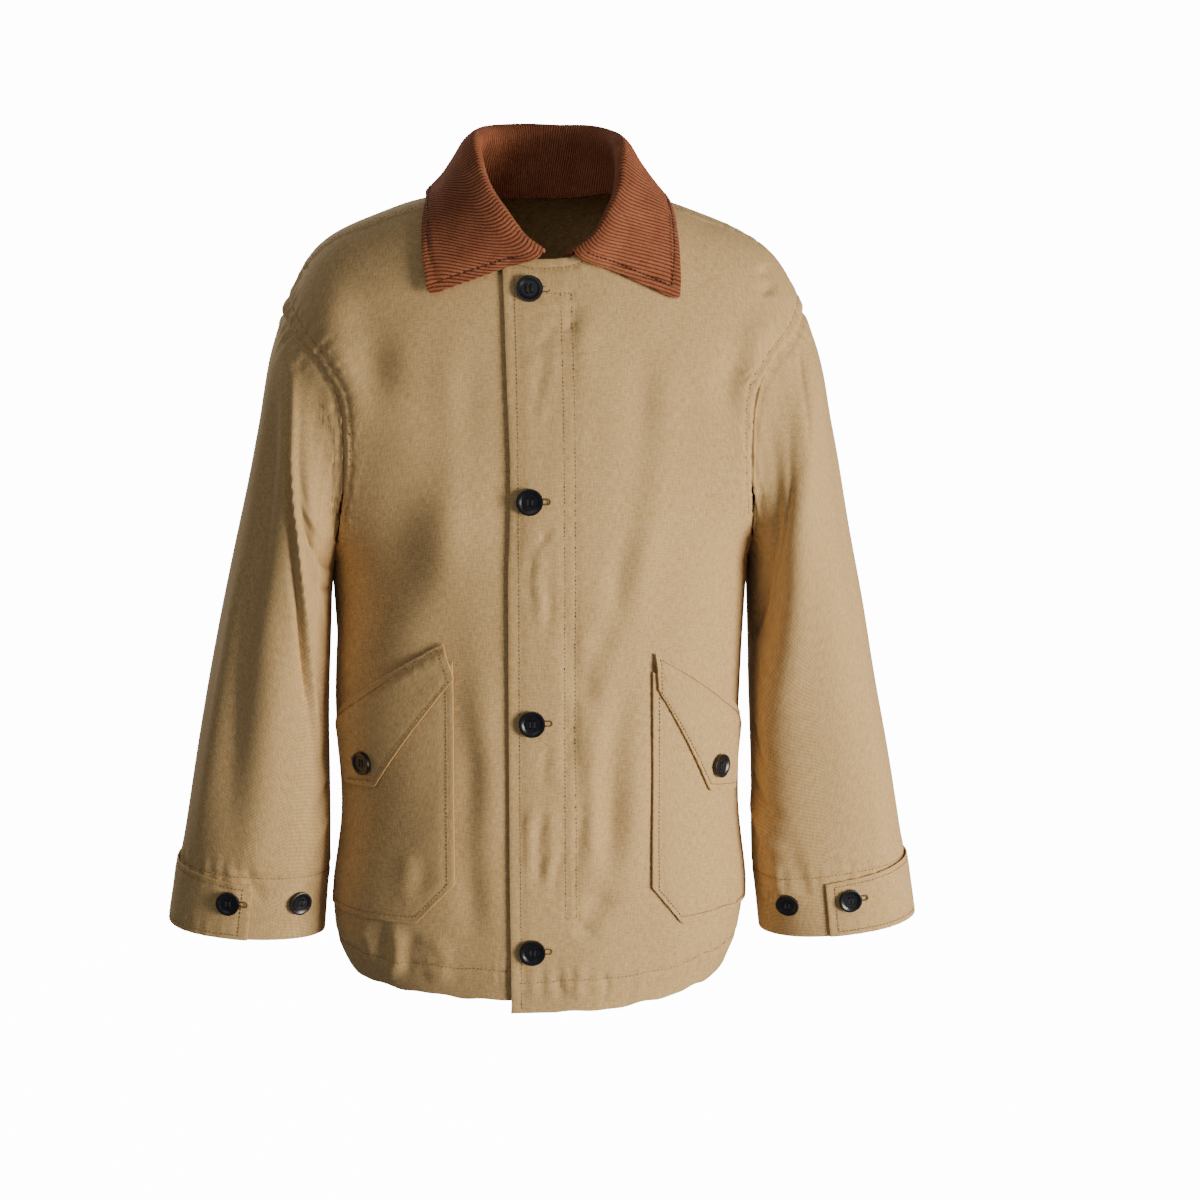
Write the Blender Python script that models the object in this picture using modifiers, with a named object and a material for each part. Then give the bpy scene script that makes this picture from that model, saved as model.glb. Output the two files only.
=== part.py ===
"""Chore jacket with a corduroy collar, worn shape, every cloth piece a thin wall.

Metres, +Z up, +X towards the wearer's left, +Y towards the wearer's back.
The origin is in the middle of the neck opening, at the height of the shoulder's high points.
"""
import math

import bmesh
import bpy
from mathutils import Matrix, Vector

# Walls and gaps
CLOTH_WALL = 0.0018
POCKET_WALL = 0.0016
COLLAR_WALL = 0.0026
SEAM_GAP = 0.0003
ARMHOLE_GAP = 0.0019
UNDERARM_GAP = 0.0026
LAP_LIFT = 0.0028
POCKET_LIFT = 0.0028
FLAP_SEAM_LIFT = 0.0030
FLAP_LIFT = 0.0057
TAB_LIFT = 0.0027
BUTTON_GAP = 0.0006

# Torso: levels and curve powers
UNDERARM_Z = -0.310
SIDE_POWER = 2.2
FRONT_DOME = 2.5
BACK_DOME = 3.0
HEM_FRONT_LEFT = -0.695
HEM_SIDE_LEFT = -0.685
HEM_FRONT_RIGHT = -0.684
HEM_SIDE_RIGHT = -0.676
HEM_BACK = -0.684

# Torso sections below the arms: name, height, half width, front depth, back depth
TORSO = (
    ("hem", -0.690, 0.1655, 0.126, 0.115),
    ("hem_turn", -0.655, 0.178, 0.131, 0.119),
    ("hip", -0.612, 0.184, 0.133, 0.121),
    ("pocket", -0.530, 0.177, 0.131, 0.116),
    ("waist", -0.430, 0.179, 0.129, 0.109),
    ("underarm", -0.310, 0.185, 0.133, 0.116),
)

# Torso sections above the arms: name, share of the rise, half width, front armhole, back armhole
YOKE = (
    ("underarm", 0.00, 0.185, 0.1850, 0.1850),
    ("low", 0.07, 0.191, 0.1825, 0.1840),
    ("hollow", 0.14, 0.205, 0.1800, 0.1830),
    ("chest", 0.28, 0.234, 0.1760, 0.1820),
    ("armhole", 0.42, 0.256, 0.1755, 0.1825),
    ("cap_front", 0.55, 0.267, 0.1790, 0.1850),
    ("cap", 0.65, 0.270, 0.1935, 0.1960),
    ("cap_top", 0.80, 0.272, 0.2165, 0.2150),
    ("shoulder", 1.00, 0.272, 0.2320, 0.2320),
)

# Shoulder line: name, distance from the middle, height
SHOULDER = (
    ("neck", 0.000, 0.0100),
    ("neck_side", 0.050, 0.0090),
    ("high_point", 0.084, 0.0070),
    ("collar_edge", 0.110, 0.0020),
    ("inner", 0.140, -0.0085),
    ("middle", 0.170, -0.0210),
    ("outer", 0.195, -0.0360),
    ("turn", 0.210, -0.0510),
    ("drop", 0.222, -0.0710),
    ("end", 0.232, -0.0930),
    ("beyond", 0.245, -0.1300),
)
RIGHT_SIDE_IN = 0.0085
SHOULDER_SEAM_NECK = 0.14
SHOULDER_SEAM_END = 0.08

# Neckline: name, share of the half neck, front rise, back rise
NECK_HALF = 0.084
NECKLINE = (
    ("middle", 0.00, 0.590, 0.826),
    ("near", 0.25, 0.598, 0.832),
    ("quarter", 0.50, 0.640, 0.852),
    ("side", 0.75, 0.728, 0.925),
    ("high_point", 1.00, 0.860, 1.140),
)

# Front edges: how far each front runs past the middle
LAP_PAST_MIDDLE = 0.0390
UNDER_PAST_MIDDLE = 0.0300

# Largest folds of the torso: name, top x, top z, foot x, foot z, half width, height (out is plus)
FRONT_FOLDS = (
    ("left_shoulder", 0.165, -0.060, 0.128, -0.400, 0.017, 0.0040),
    ("left_chest", 0.120, -0.090, 0.100, -0.560, 0.020, -0.0030),
    ("left_lower", 0.150, -0.330, 0.062, -0.720, 0.020, 0.0030),
    ("right_shoulder", -0.168, -0.050, -0.140, -0.350, 0.016, 0.0042),
    ("right_chest", -0.128, -0.090, -0.108, -0.520, 0.020, -0.0034),
    ("right_lower", -0.105, -0.300, -0.066, -0.720, 0.022, 0.0032),
    ("right_hem", -0.128, -0.570, -0.126, -0.720, 0.010, 0.0042),
)
BACK_FOLDS = (
    ("left_blade", 0.135, -0.110, 0.112, -0.640, 0.022, 0.0040),
    ("left_hollow", 0.088, -0.200, 0.074, -0.720, 0.022, -0.0036),
    ("middle", 0.012, -0.160, 0.018, -0.720, 0.026, 0.0030),
    ("right_hollow", -0.070, -0.180, -0.078, -0.720, 0.024, -0.0036),
    ("right_blade", -0.130, -0.120, -0.118, -0.660, 0.021, 0.0038),
)

# Sleeve rings: name, outer x, outer z, inner x, inner z, half depth, middle y
SLEEVE = (
    ("cap", 0.2425, -0.122, 0.1885, -0.322, 0.0930, -0.002),
    ("upper", 0.2560, -0.188, 0.1895, -0.352, 0.0890, -0.003),
    ("biceps", 0.2715, -0.268, 0.1905, -0.392, 0.0840, -0.005),
    ("elbow", 0.2910, -0.360, 0.1915, -0.450, 0.0770, -0.008),
    ("forearm", 0.3090, -0.455, 0.1925, -0.520, 0.0690, -0.013),
    ("lower", 0.3250, -0.555, 0.1950, -0.588, 0.0600, -0.018),
    ("cuff_top", 0.3320, -0.598, 0.1980, -0.620, 0.0550, -0.020),
    ("cuff", 0.3385, -0.641, 0.2010, -0.653, 0.0520, -0.021),
)
SLEEVE_POWER = 2.15
CUFF_DROP_LEFT = -0.0055
CUFF_DROP_RIGHT = 0.0100

# Sleeve folds: name, angle at the top, share at the top, angle at the foot, share at the foot, half width, height
SLEEVE_FOLDS = (
    ("front_trough", 66.0, 0.10, 92.0, 0.80, 0.0110, -0.0048),
    ("front_ridge", 104.0, 0.14, 112.0, 0.66, 0.0100, 0.0040),
    ("outer_trough", 36.0, 0.42, 52.0, 0.84, 0.0120, -0.0036),
    ("back_trough", 282.0, 0.14, 262.0, 0.74, 0.0130, -0.0046),
    ("back_ridge", 318.0, 0.30, 300.0, 0.82, 0.0120, 0.0034),
)

# Collar stations: name, number, place on the neckline (1 is the high point, 2 the nape), roll x, y, z, edge x, y, z
COLLAR = (
    ("end", 0.0, 0.15, 0.0130, -0.0970, -0.0335, 0.1060, -0.0980, -0.0765),
    ("front", 1.0, 0.38, 0.0300, -0.0910, -0.0215, 0.1085, -0.0910, -0.0540),
    ("front_roll", 2.0, 0.62, 0.0450, -0.0785, -0.0015, 0.1095, -0.0760, -0.0300),
    ("front_side", 3.0, 0.84, 0.0570, -0.0600, 0.0190, 0.1085, -0.0570, -0.0080),
    ("side_front", 4.0, 1.01, 0.0630, -0.0350, 0.0430, 0.1050, -0.0300, 0.0050),
    ("side", 5.0, 1.10, 0.0640, -0.0080, 0.0580, 0.1010, 0.0080, 0.0085),
    ("back_side", 6.0, 1.26, 0.0580, 0.0220, 0.0630, 0.0940, 0.0480, 0.0010),
    ("back", 7.0, 1.56, 0.0410, 0.0480, 0.0640, 0.0700, 0.0830, -0.0090),
    ("nape", 8.0, 2.00, 0.0000, 0.0590, 0.0640, 0.0000, 0.0960, -0.0120),
    ("beyond", 9.0, 2.44, -0.0410, 0.0480, 0.0640, -0.0700, 0.0830, -0.0090),
)
COLLAR_EDGE_SHIFT = 0.0040
COLLAR_ROLL_SHIFT = 0.0075
RIGHT_TIP_RAISE = 0.0065
COLLAR_SEAM_GAP = 0.0048
NECK_MIDDLE = (0.0, -0.012, 0.004)
COLLAR_CLEARANCE = 0.0064
ROLL_HALF = 0.0042
ROLL_SHARE = 0.34
ROLL_DROP = 0.70
RIDGE_HALF = 0.060

# Pockets: inner edge, outer edge, heights of the lower edge; the lower inner corner is cut off
POCKET_INNER_X = 0.0850
POCKET_OUTER_ANGLE = 79.0
POCKET_UNDER_FLAP = 0.016
POCKET_RIGHT = (
    ("inner_corner", 0.0, -0.577),
    ("lower_corner", 0.23, -0.615),
    ("outer_corner", 1.0, -0.617),
)
POCKET_LEFT = (
    ("inner_corner", 0.0, -0.586),
    ("lower_corner", 0.19, -0.623),
    ("outer_corner", 1.0, -0.626),
)

# Flap corners: name, angle round the body in degrees, height
FLAP_RIGHT = (
    ("top_inner", 28.4, -0.3632),
    ("top_outer", 76.5, -0.4410),
    ("low_inner", 25.4, -0.3938),
    ("low_turn", 54.0, -0.4976),
    ("low_outer", 71.5, -0.5020),
)
FLAP_LEFT = (
    ("top_inner", 26.4, -0.3765),
    ("top_outer", 73.5, -0.4490),
    ("low_inner", 27.5, -0.4084),
    ("low_turn", 49.5, -0.5086),
    ("low_outer", 68.5, -0.5165),
)
FLAP_TURN_SHARE = 0.66

# Cuffs: tab ends round the sleeve in degrees, heights above the cuff edge, and the buttons on them
TAB_FRONT_ANGLES = {1: 101.0, -1: 89.0}
TAB_BACK_ANGLE = -48.0
TAB_FRONT_HEIGHT = 0.052
TAB_BACK_HEIGHT = 0.063
TAB_BUTTON_ANGLES = {1: 86.0, -1: 74.0}
SPARE_BUTTON_ANGLES = {1: 131.0, -1: 125.0}
CUFF_BUTTON_HEIGHT = 0.034

# Buttons
FRONT_BUTTON_RADIUS = 0.0113
SMALL_BUTTON_RADIUS = 0.0104
BUTTON_HEIGHT = 0.0034
# name, distance from the middle, height
FRONT_BUTTONS = (
    ("top", -0.0172, -0.0665),
    ("second", -0.0203, -0.2405),
    ("third", -0.0193, -0.4330),
    ("foot", -0.0205, -0.6365),
)
FLAP_BUTTON_SHARE = (0.71, 0.27)

# Grid steps
NECK_STEPS = 6
NECK_CROWDING = 0.5
SHOULDER_STEPS = 11
SEAM_CROWDING = 0.45
LOW_STEPS = 12
YOKE_STEPS = 11
SLEEVE_STEPS = 16
COLLAR_STEPS = 36
COLLAR_ROWS = 14
POCKET_GRID = (7, 9)
FLAP_GRID = (7, 6)
TAB_GRID = (9, 3)

CLOTH = ("cotton_twill", (0.520, 0.376, 0.198, 1.0), 0.92)
CORDUROY = ("corduroy", (0.366, 0.112, 0.042, 1.0), 0.95)
BUTTON = ("button_resin", (0.016, 0.015, 0.022, 1.0), 0.38)


def clear_file():
    """Remove whatever the file starts with."""
    for thing in list(bpy.data.objects):
        bpy.data.objects.remove(thing, do_unlink=True)


def make_material(spec):
    """Principled material from a name, a colour and a roughness."""
    name, colour, roughness = spec
    material = bpy.data.materials.new(name)
    material.use_nodes = True
    shader = material.node_tree.nodes["Principled BSDF"]
    shader.inputs["Base Color"].default_value = colour
    shader.inputs["Roughness"].default_value = roughness
    shader.inputs["Metallic"].default_value = 0.0
    return material


def smooth_step(value):
    """0 to 1 with level ends."""
    value = max(0.0, min(1.0, value))
    return value * value * (3.0 - 2.0 * value)


def signed_power(value, power):
    """Power that keeps the sign."""
    return math.copysign(abs(value) ** power, value)


def table_value(rows, key, column):
    """Smooth value of a named column at a key, the key being column 1 of the rows."""
    keys = [row[1] for row in rows]
    values = [row[column] for row in rows]
    last = len(rows) - 1
    if key <= keys[0]:
        return values[0]
    if key >= keys[last]:
        return values[last]
    low = max(i for i in range(last) if keys[i] <= key)

    def slope(i):
        before = max(i - 1, 0)
        after = min(i + 1, last)
        return (values[after] - values[before]) / (keys[after] - keys[before])

    span = keys[low + 1] - keys[low]
    t = (key - keys[low]) / span
    start = (2 * t ** 3 - 3 * t ** 2 + 1) * values[low] + (t ** 3 - 2 * t ** 2 + t) * span * slope(low)
    end = (3 * t ** 2 - 2 * t ** 3) * values[low + 1] + (t ** 3 - t ** 2) * span * slope(low + 1)
    return start + end


def curve_point(points, share):
    """Point on a smooth curve through all points, share 0 to 1 over equal spans, slopes from the chords."""
    last = len(points) - 1
    place = max(0.0, min(1.0, share)) * last
    low = min(int(place), last - 1)
    t = place - low
    span = (points[low + 1] - points[low]).length

    def slope(i):
        if i == 0 or i == last:
            step = points[1] - points[0] if i == 0 else points[last] - points[last - 1]
            return step.normalized()
        before = points[i] - points[i - 1]
        after = points[i + 1] - points[i]
        mixed = before.normalized() * after.length + after.normalized() * before.length
        return mixed / (before.length + after.length)

    start = points[low] * (2 * t ** 3 - 3 * t ** 2 + 1) + slope(low) * (t ** 3 - 2 * t ** 2 + t) * span
    end = points[low + 1] * (3 * t ** 2 - 2 * t ** 3) + slope(low + 1) * (t ** 3 - t ** 2) * span
    return start + end


def hem_height(face, angle):
    """Height of the hem edge; the wearer's left side hangs a little lower."""
    side = signed_power(math.sin(angle), 3)
    if face > 0:
        seam = HEM_SIDE_LEFT if side > 0 else HEM_SIDE_RIGHT
        return HEM_BACK + (seam - HEM_BACK) * abs(side)
    if side > 0:
        return HEM_FRONT_LEFT + (HEM_SIDE_LEFT - HEM_FRONT_LEFT) * side
    return HEM_FRONT_RIGHT - (HEM_SIDE_RIGHT - HEM_FRONT_RIGHT) * side


def settled(point):
    """The wearer's right side sits a little further in."""
    if point.x > 0:
        return point
    inward = smooth_step((-point.x - 0.17) / 0.06) * (1 - 0.5 * smooth_step((-point.z - 0.2) / 0.4))
    return Vector((point.x + RIGHT_SIDE_IN * inward, point.y, point.z))


def torso_point(face, angle, rise, hem=None):
    """Bare torso form. Face -1 is the front; rise -1 is the hem, 0 the underarm, 1 the shoulder line."""
    if rise > 1:
        face = -face
        rise = 2 - rise
    across = signed_power(math.sin(angle), 2 / SIDE_POWER)
    forward = signed_power(math.cos(angle), 2 / SIDE_POWER)
    if rise <= 0:
        hem = hem_height(face, angle) if hem is None else hem
        height = UNDERARM_Z + rise * (UNDERARM_Z - hem)
        width = table_value(TORSO, height, 2)
        depth = table_value(TORSO, height, 3 if face < 0 else 4)
        return Vector((width * across, face * depth * forward, height))
    power = 2 / (FRONT_DOME if face < 0 else BACK_DOME)
    turn = rise * math.pi / 2
    share = math.sin(turn) ** power
    x = table_value(YOKE, share, 2) * across
    ridge = table_value(SHOULDER, abs(x), 2)
    depth = TORSO[-1][3 if face < 0 else 4] * max(math.cos(turn), 0.0) ** power
    return settled(Vector((x, face * depth * forward, UNDERARM_Z + share * (ridge - UNDERARM_Z))))


def dome_depth(face, x, height):
    """Distance of the torso form from the shoulder line's plane, above the underarm."""
    power = FRONT_DOME if face < 0 else BACK_DOME
    share = min(1.0, (height - UNDERARM_Z) / (table_value(SHOULDER, abs(x), 2) - UNDERARM_Z))
    across = min(1.0, abs(x) / table_value(YOKE, share, 2))
    profile = (1 - across ** SIDE_POWER) ** (1 / SIDE_POWER)
    return TORSO[-1][3 if face < 0 else 4] * profile * (1 - share ** power) ** (1 / power)


def dome_height(face, x, depth):
    """Height of the torso form at a distance from the shoulder line's plane."""
    power = FRONT_DOME if face < 0 else BACK_DOME
    width = YOKE[-1][2]
    profile = (1 - min(1.0, abs(x) / width) ** SIDE_POWER) ** (1 / SIDE_POWER)
    reach = min(1.0, depth / (TORSO[-1][3 if face < 0 else 4] * profile))
    share = (1 - reach ** power) ** (1 / power)
    return UNDERARM_Z + share * (table_value(SHOULDER, abs(x), 2) - UNDERARM_Z)


def section_width(face, rise):
    """Half width of the torso form at a rise."""
    if rise <= 0:
        return table_value(TORSO, UNDERARM_Z + rise * (UNDERARM_Z - HEM_BACK), 2)
    power = 2 / (FRONT_DOME if face < 0 else BACK_DOME)
    if rise > 1:
        power = 2 / (BACK_DOME if face < 0 else FRONT_DOME)
    return table_value(YOKE, math.sin(rise * math.pi / 2) ** power, 2)


def angle_at(x, width):
    """Angle round the torso whose across value is x."""
    return math.copysign(math.asin(min(1.0, abs(x) / width) ** (SIDE_POWER / 2)), x)


def outer_angle(face, rise):
    """Angle of the side seam, or of the armhole above the underarm."""
    if rise <= 0:
        return math.pi / 2
    column = 3 if face < 0 else 4
    power = 2 / (FRONT_DOME if face < 0 else BACK_DOME)
    share = math.sin(min(rise, 2 - rise) * math.pi / 2) ** power
    return angle_at(table_value(YOKE, share, column), table_value(YOKE, share, 2))


def fold_height(folds, x, z):
    """Sum of the folds at a place on a panel, seen from its front."""
    total = 0.0
    for _, top_x, top_z, foot_x, foot_z, half_width, height in folds:
        along_x = foot_x - top_x
        along_z = foot_z - top_z
        length = math.hypot(along_x, along_z)
        share = ((x - top_x) * along_x + (z - top_z) * along_z) / length ** 2
        across = ((x - top_x) * along_z - (z - top_z) * along_x) / length
        ends = smooth_step(share / 0.25) * smooth_step((1 - share) / 0.12)
        total += height * ends * math.exp(-(across / half_width) ** 2)
    return total


def torso_surface(face, angle, rise, lift=0.0, hem=None):
    """Torso form with its folds, moved out by lift."""
    base = torso_point(face, angle, rise, hem)
    step = 0.004
    side = torso_point(face, angle + step, rise, hem) - torso_point(face, angle - step, rise, hem)
    up = torso_point(face, angle, rise + step, hem) - torso_point(face, angle, rise - step, hem)
    normal = side.cross(up).normalized() * -face
    seam = smooth_step((outer_angle(face, rise) - abs(angle)) / 0.22) * smooth_step((0.84 - rise) / 0.25)
    folds = FRONT_FOLDS if face < 0 else BACK_FOLDS
    return base + normal * (lift + seam * fold_height(folds, base.x, base.z))


def lap_lift(x):
    """The wearer's left front lies over the other near the middle."""
    return LAP_LIFT * smooth_step((0.085 - x) / 0.05)


def front_surface(side, angle, rise, lift=0.0):
    """A front's outer side. Side 1 is the wearer's left, which laps over."""
    hem = HEM_FRONT_LEFT if side > 0 else HEM_FRONT_RIGHT
    if side * angle > 0:
        hem = None
    if side > 0:
        lift += lap_lift(torso_point(-1, angle, rise, hem).x)
    return torso_surface(-1, angle, rise, lift, hem)


def neck_rise(face, angle):
    """Rise of the neckline, or of the shoulder seam beyond the high point."""
    high = angle_at(NECK_HALF, YOKE[-1][2])
    share = (math.sin(abs(angle)) / math.sin(high)) ** (2 / SIDE_POWER)
    if share <= 1:
        return table_value(NECKLINE, share, 2 if face < 0 else 3)
    end = outer_angle(face, 1.0)
    seam = SHOULDER_SEAM_NECK + (SHOULDER_SEAM_END - SHOULDER_SEAM_NECK) * (abs(angle) - high) / (end - high)
    return 1 - seam if face < 0 else 1 + seam


def column_angle(share, inner, outer, neck_steps, shoulder_steps):
    """Angle of a grid column: even up to the neck's high point, then even to the outer seam."""
    high = angle_at(NECK_HALF, YOKE[-1][2])
    turn = neck_steps / (neck_steps + shoulder_steps)
    if share <= turn:
        share = share / turn
        return inner + (high - inner) * share * (1 + NECK_CROWDING * (1 - share))
    share = (share - turn) / (1 - turn)
    return high + (outer - high) * share * (1 + SEAM_CROWDING * (1 - share))


def row_rise(share, face, top):
    """Rise of a grid row: even up to the underarm, then even along the chest and over the shoulder."""
    turn = LOW_STEPS / (LOW_STEPS + YOKE_STEPS)
    if share <= turn:
        return share / turn - 1
    power = (FRONT_DOME if face < 0 else BACK_DOME) / 2
    return top * ((share - turn) / (1 - turn)) ** power


def front_place(side):
    """Function from grid shares to points of one front."""
    past = LAP_PAST_MIDDLE if side > 0 else UNDER_PAST_MIDDLE
    end_top = 1 - SHOULDER_SEAM_END

    def place(across, along):
        probe = row_rise(along, -1, end_top)
        inner = -angle_at(past, section_width(-1, probe))
        outer = outer_angle(-1, probe) - SEAM_GAP / TORSO[-1][3]
        angle = column_angle(across, inner, outer, NECK_STEPS, SHOULDER_STEPS)
        top = neck_rise(-1, angle) - SEAM_GAP / TORSO[-1][3]
        return front_surface(side, side * angle, row_rise(along, -1, top))

    return place


def back_place(across, along):
    """Points of the back, from its left side seam to its right one."""
    end_top = 1 + SHOULDER_SEAM_END
    probe = row_rise(along, 1, end_top)
    outer = outer_angle(1, probe) - SEAM_GAP / TORSO[-1][3]
    side = 1 if across < 0.5 else -1
    angle = side * column_angle(abs(1 - 2 * across), 0.0, outer, NECK_STEPS, SHOULDER_STEPS)
    top = neck_rise(1, angle)
    return torso_surface(1, angle, row_rise(along, 1, top))


def armhole_loop(side):
    """Armhole corners in order: shoulder, front, underarm, back, just off the body's edges."""
    loop = []
    for step in range(YOKE_STEPS, -1, -1):
        rise = (1 - SHOULDER_SEAM_END) * (step / YOKE_STEPS) ** (FRONT_DOME / 2)
        loop.append(torso_point(-1, side * outer_angle(-1, rise), rise))
    for step in range(1, YOKE_STEPS):
        rise = (1 + SHOULDER_SEAM_END) * (step / YOKE_STEPS) ** (BACK_DOME / 2)
        loop.append(torso_point(1, side * outer_angle(1, rise), rise))
    for i, point in enumerate(loop):
        turn = i / len(loop)
        low = smooth_step(1.6 - abs(turn - 0.5) / 0.15)
        away = (ring_point(side, SLEEVE[0], turn) - point).normalized() * ARMHOLE_GAP
        loop[i] = point + away + Vector((side * UNDERARM_GAP * low, 0, 0))
    return loop


def loop_point(loop, share):
    """Point on the closed armhole loop, share 0 to 1 over equal steps."""
    count = len(loop)
    place = (share % 1.0) * count
    low = int(place + 1e-9)
    return loop[low % count].lerp(loop[(low + 1) % count], max(0.0, place - low))


def ring_point(side, row, turn):
    """Point of one sleeve ring; turn 0 is the outer side, a quarter the front, a half the underarm side."""
    _, outer_x, outer_z, inner_x, inner_z, half_depth, middle_y = row
    drop = (CUFF_DROP_LEFT if side > 0 else CUFF_DROP_RIGHT) * smooth_step((-outer_z - 0.12) / 0.5)
    middle = Vector(((outer_x + inner_x) / 2, middle_y, (outer_z + inner_z) / 2 + drop))
    half = Vector(((outer_x - inner_x) / 2, 0, (outer_z - inner_z) / 2))
    across = signed_power(math.cos(turn * 2 * math.pi), 2 / SLEEVE_POWER)
    depth = signed_power(math.sin(turn * 2 * math.pi), 2 / SLEEVE_POWER)
    point = middle + half * across + Vector((0, -half_depth * depth, 0))
    return settled(Vector((side * point.x, point.y, point.z)))


def sleeve_point(side, loop, turn, share):
    """Bare sleeve form; share 0 is the armhole, 1 the cuff edge."""
    start = loop_point(loop, turn)
    rings = [ring_point(side, row, turn) for row in SLEEVE]
    return curve_point([start] + rings, share)


def sleeve_surface(side, loop, turn, share, lift=0.0):
    """Sleeve form with its folds, moved out by lift."""
    base = sleeve_point(side, loop, turn, share)
    step = 0.004
    around = sleeve_point(side, loop, turn + step, share) - sleeve_point(side, loop, turn - step, share)
    along = sleeve_point(side, loop, turn, min(1, share + step)) - sleeve_point(side, loop, turn, max(0, share - step))
    normal = around.cross(along).normalized() * side
    total = 0.0
    for _, top_angle, top_share, foot_angle, foot_share, half_width, height in SLEEVE_FOLDS:
        place = (share - top_share) / (foot_share - top_share)
        middle = top_angle + (foot_angle - top_angle) * place
        away = (math.degrees(turn * 2 * math.pi) - middle + 180) % 360 - 180
        across = math.radians(away) * 0.07
        ends = smooth_step(place / 0.25) * smooth_step((1 - place) / 0.25)
        total += height * ends * math.exp(-(across / half_width) ** 2)
    return base + normal * (lift + total)


def roll_point(side, station):
    """Point on the collar's fold line."""
    x, y, z = [table_value(COLLAR, station, column) for column in range(3, 6)]
    return Vector((side * x + COLLAR_ROLL_SHIFT, y, z))


def collar_place(across, along):
    """Points of the collar: along 0 is the neckline, the middle the roll, 1 the outer edge."""
    side = 1 if across > 0.5 else -1
    station = (1 - abs(2 * across - 1)) * COLLAR[-2][1]
    place = table_value(COLLAR, station, 2)
    edge_x, edge_y, edge_z = [table_value(COLLAR, station, column) for column in range(6, 9)]
    face = -1 if place <= 1 else 1
    share = place if place <= 1 else 2 - place
    neck_x = side * NECK_HALF * share + (COLLAR_EDGE_SHIFT * (1 - share) if face < 0 else 0.0)
    neck_angle = angle_at(neck_x, YOKE[-1][2])
    seam = torso_point(face, neck_angle, neck_rise(face, neck_angle))
    neck = seam + (Vector(NECK_MIDDLE) - seam).normalized() * COLLAR_SEAM_GAP
    roll = roll_point(side, station)
    raised = RIGHT_TIP_RAISE * smooth_step(1 - station / 2) if side < 0 else 0.0
    edge = Vector((side * edge_x + COLLAR_EDGE_SHIFT, edge_y, edge_z + raised))
    half = min(ROLL_HALF, ROLL_SHARE * (roll - neck).length)
    ahead = roll_point(side, station + 0.05) - roll_point(side, station - 0.05)
    out = Vector((ahead.y, -ahead.x, 0)).normalized() * half * side
    drop = Vector((0, 0, half * ROLL_DROP))
    inner = roll - out - drop
    outer = roll + out - drop
    fall = [outer.lerp(edge, 0.33), outer.lerp(edge, 0.66), edge]
    for point in fall:
        clear = COLLAR_CLEARANCE + lap_lift(abs(point.x))
        side_of_body = -1 if point.y < 0 else 1
        if abs(point.y) < RIDGE_HALF:
            point.z = max(point.z, dome_height(side_of_body, point.x, abs(point.y)) + COLLAR_CLEARANCE)
        elif point.y < 0:
            point.y = min(point.y, -dome_depth(-1, point.x, point.z) - clear)
        else:
            point.y = max(point.y, dome_depth(1, point.x, point.z) + COLLAR_CLEARANCE)
    return curve_point([neck, neck.lerp(inner, 0.5), inner, roll, outer] + fall, along)


def grid_piece(name, columns, rows, place, wall, material, closed=False, flip=False):
    """A cloth piece: a grid placed by a function, given its wall by Solidify."""
    mesh = bpy.data.meshes.new(name)
    grid = bmesh.new()
    bmesh.ops.create_grid(grid, x_segments=columns, y_segments=rows, size=0.5)
    for vert in grid.verts:
        vert.co = place(round(vert.co.x + 0.5, 6), round(vert.co.y + 0.5, 6))
    if closed:
        bmesh.ops.remove_doubles(grid, verts=grid.verts, dist=0.00005)
    if flip:
        bmesh.ops.reverse_faces(grid, faces=grid.faces)
    for face in grid.faces:
        face.smooth = True
    grid.to_mesh(mesh)
    grid.free()
    mesh.materials.append(material)
    piece = bpy.data.objects.new(name, mesh)
    jacket.objects.link(piece)
    shell = piece.modifiers.new("wall", "SOLIDIFY")
    shell.thickness = wall
    shell.offset = 0.0
    return piece


def pocket_place(side, rows, flap):
    """Points of a patch pocket, from its inner edge to its outer one."""
    top_inner = flap[0][2] - POCKET_UNDER_FLAP
    top_outer = flap[1][2] - POCKET_UNDER_FLAP

    def place(across, along):
        corner = rows[1][1]
        if across < corner:
            foot = rows[0][2] + (rows[1][2] - rows[0][2]) * across / corner
        else:
            foot = rows[1][2] + (rows[2][2] - rows[1][2]) * (across - corner) / (1 - corner)
        head = top_inner + (top_outer - top_inner) * across
        height = foot + (head - foot) * along
        inner = angle_at(POCKET_INNER_X, table_value(TORSO, height, 2))
        angle = inner + (math.radians(POCKET_OUTER_ANGLE) - inner) * across
        return height_point(side, angle, height, POCKET_LIFT)

    return place


def height_point(side, angle, height, lift):
    """Point on a front at an angle round the body and a height."""
    hem = hem_height(-1, side * angle)
    rise = (height - UNDERARM_Z) / (UNDERARM_Z - hem)
    return front_surface(side, side * angle, rise, lift)


def flap_place(side, rows):
    """Points of a pocket flap, from its top seam down to its diagonal edge."""
    top_inner, top_outer, low_inner, low_turn, low_outer = rows

    def between(first, second, share):
        return (first[1] + (second[1] - first[1]) * share, first[2] + (second[2] - first[2]) * share)

    def place(across, along):
        head = between(top_inner, top_outer, across)
        if across < FLAP_TURN_SHARE:
            foot = between(low_inner, low_turn, across / FLAP_TURN_SHARE)
        else:
            foot = between(low_turn, low_outer, (across - FLAP_TURN_SHARE) / (1 - FLAP_TURN_SHARE))
        down = 1 - along
        angle = math.radians(head[0] + (foot[0] - head[0]) * down)
        height = head[1] + (foot[1] - head[1]) * down
        lift = FLAP_SEAM_LIFT + (FLAP_LIFT - FLAP_SEAM_LIFT) * smooth_step((head[1] - height) / 0.012)
        return height_point(side, angle, height, lift)

    return place


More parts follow.
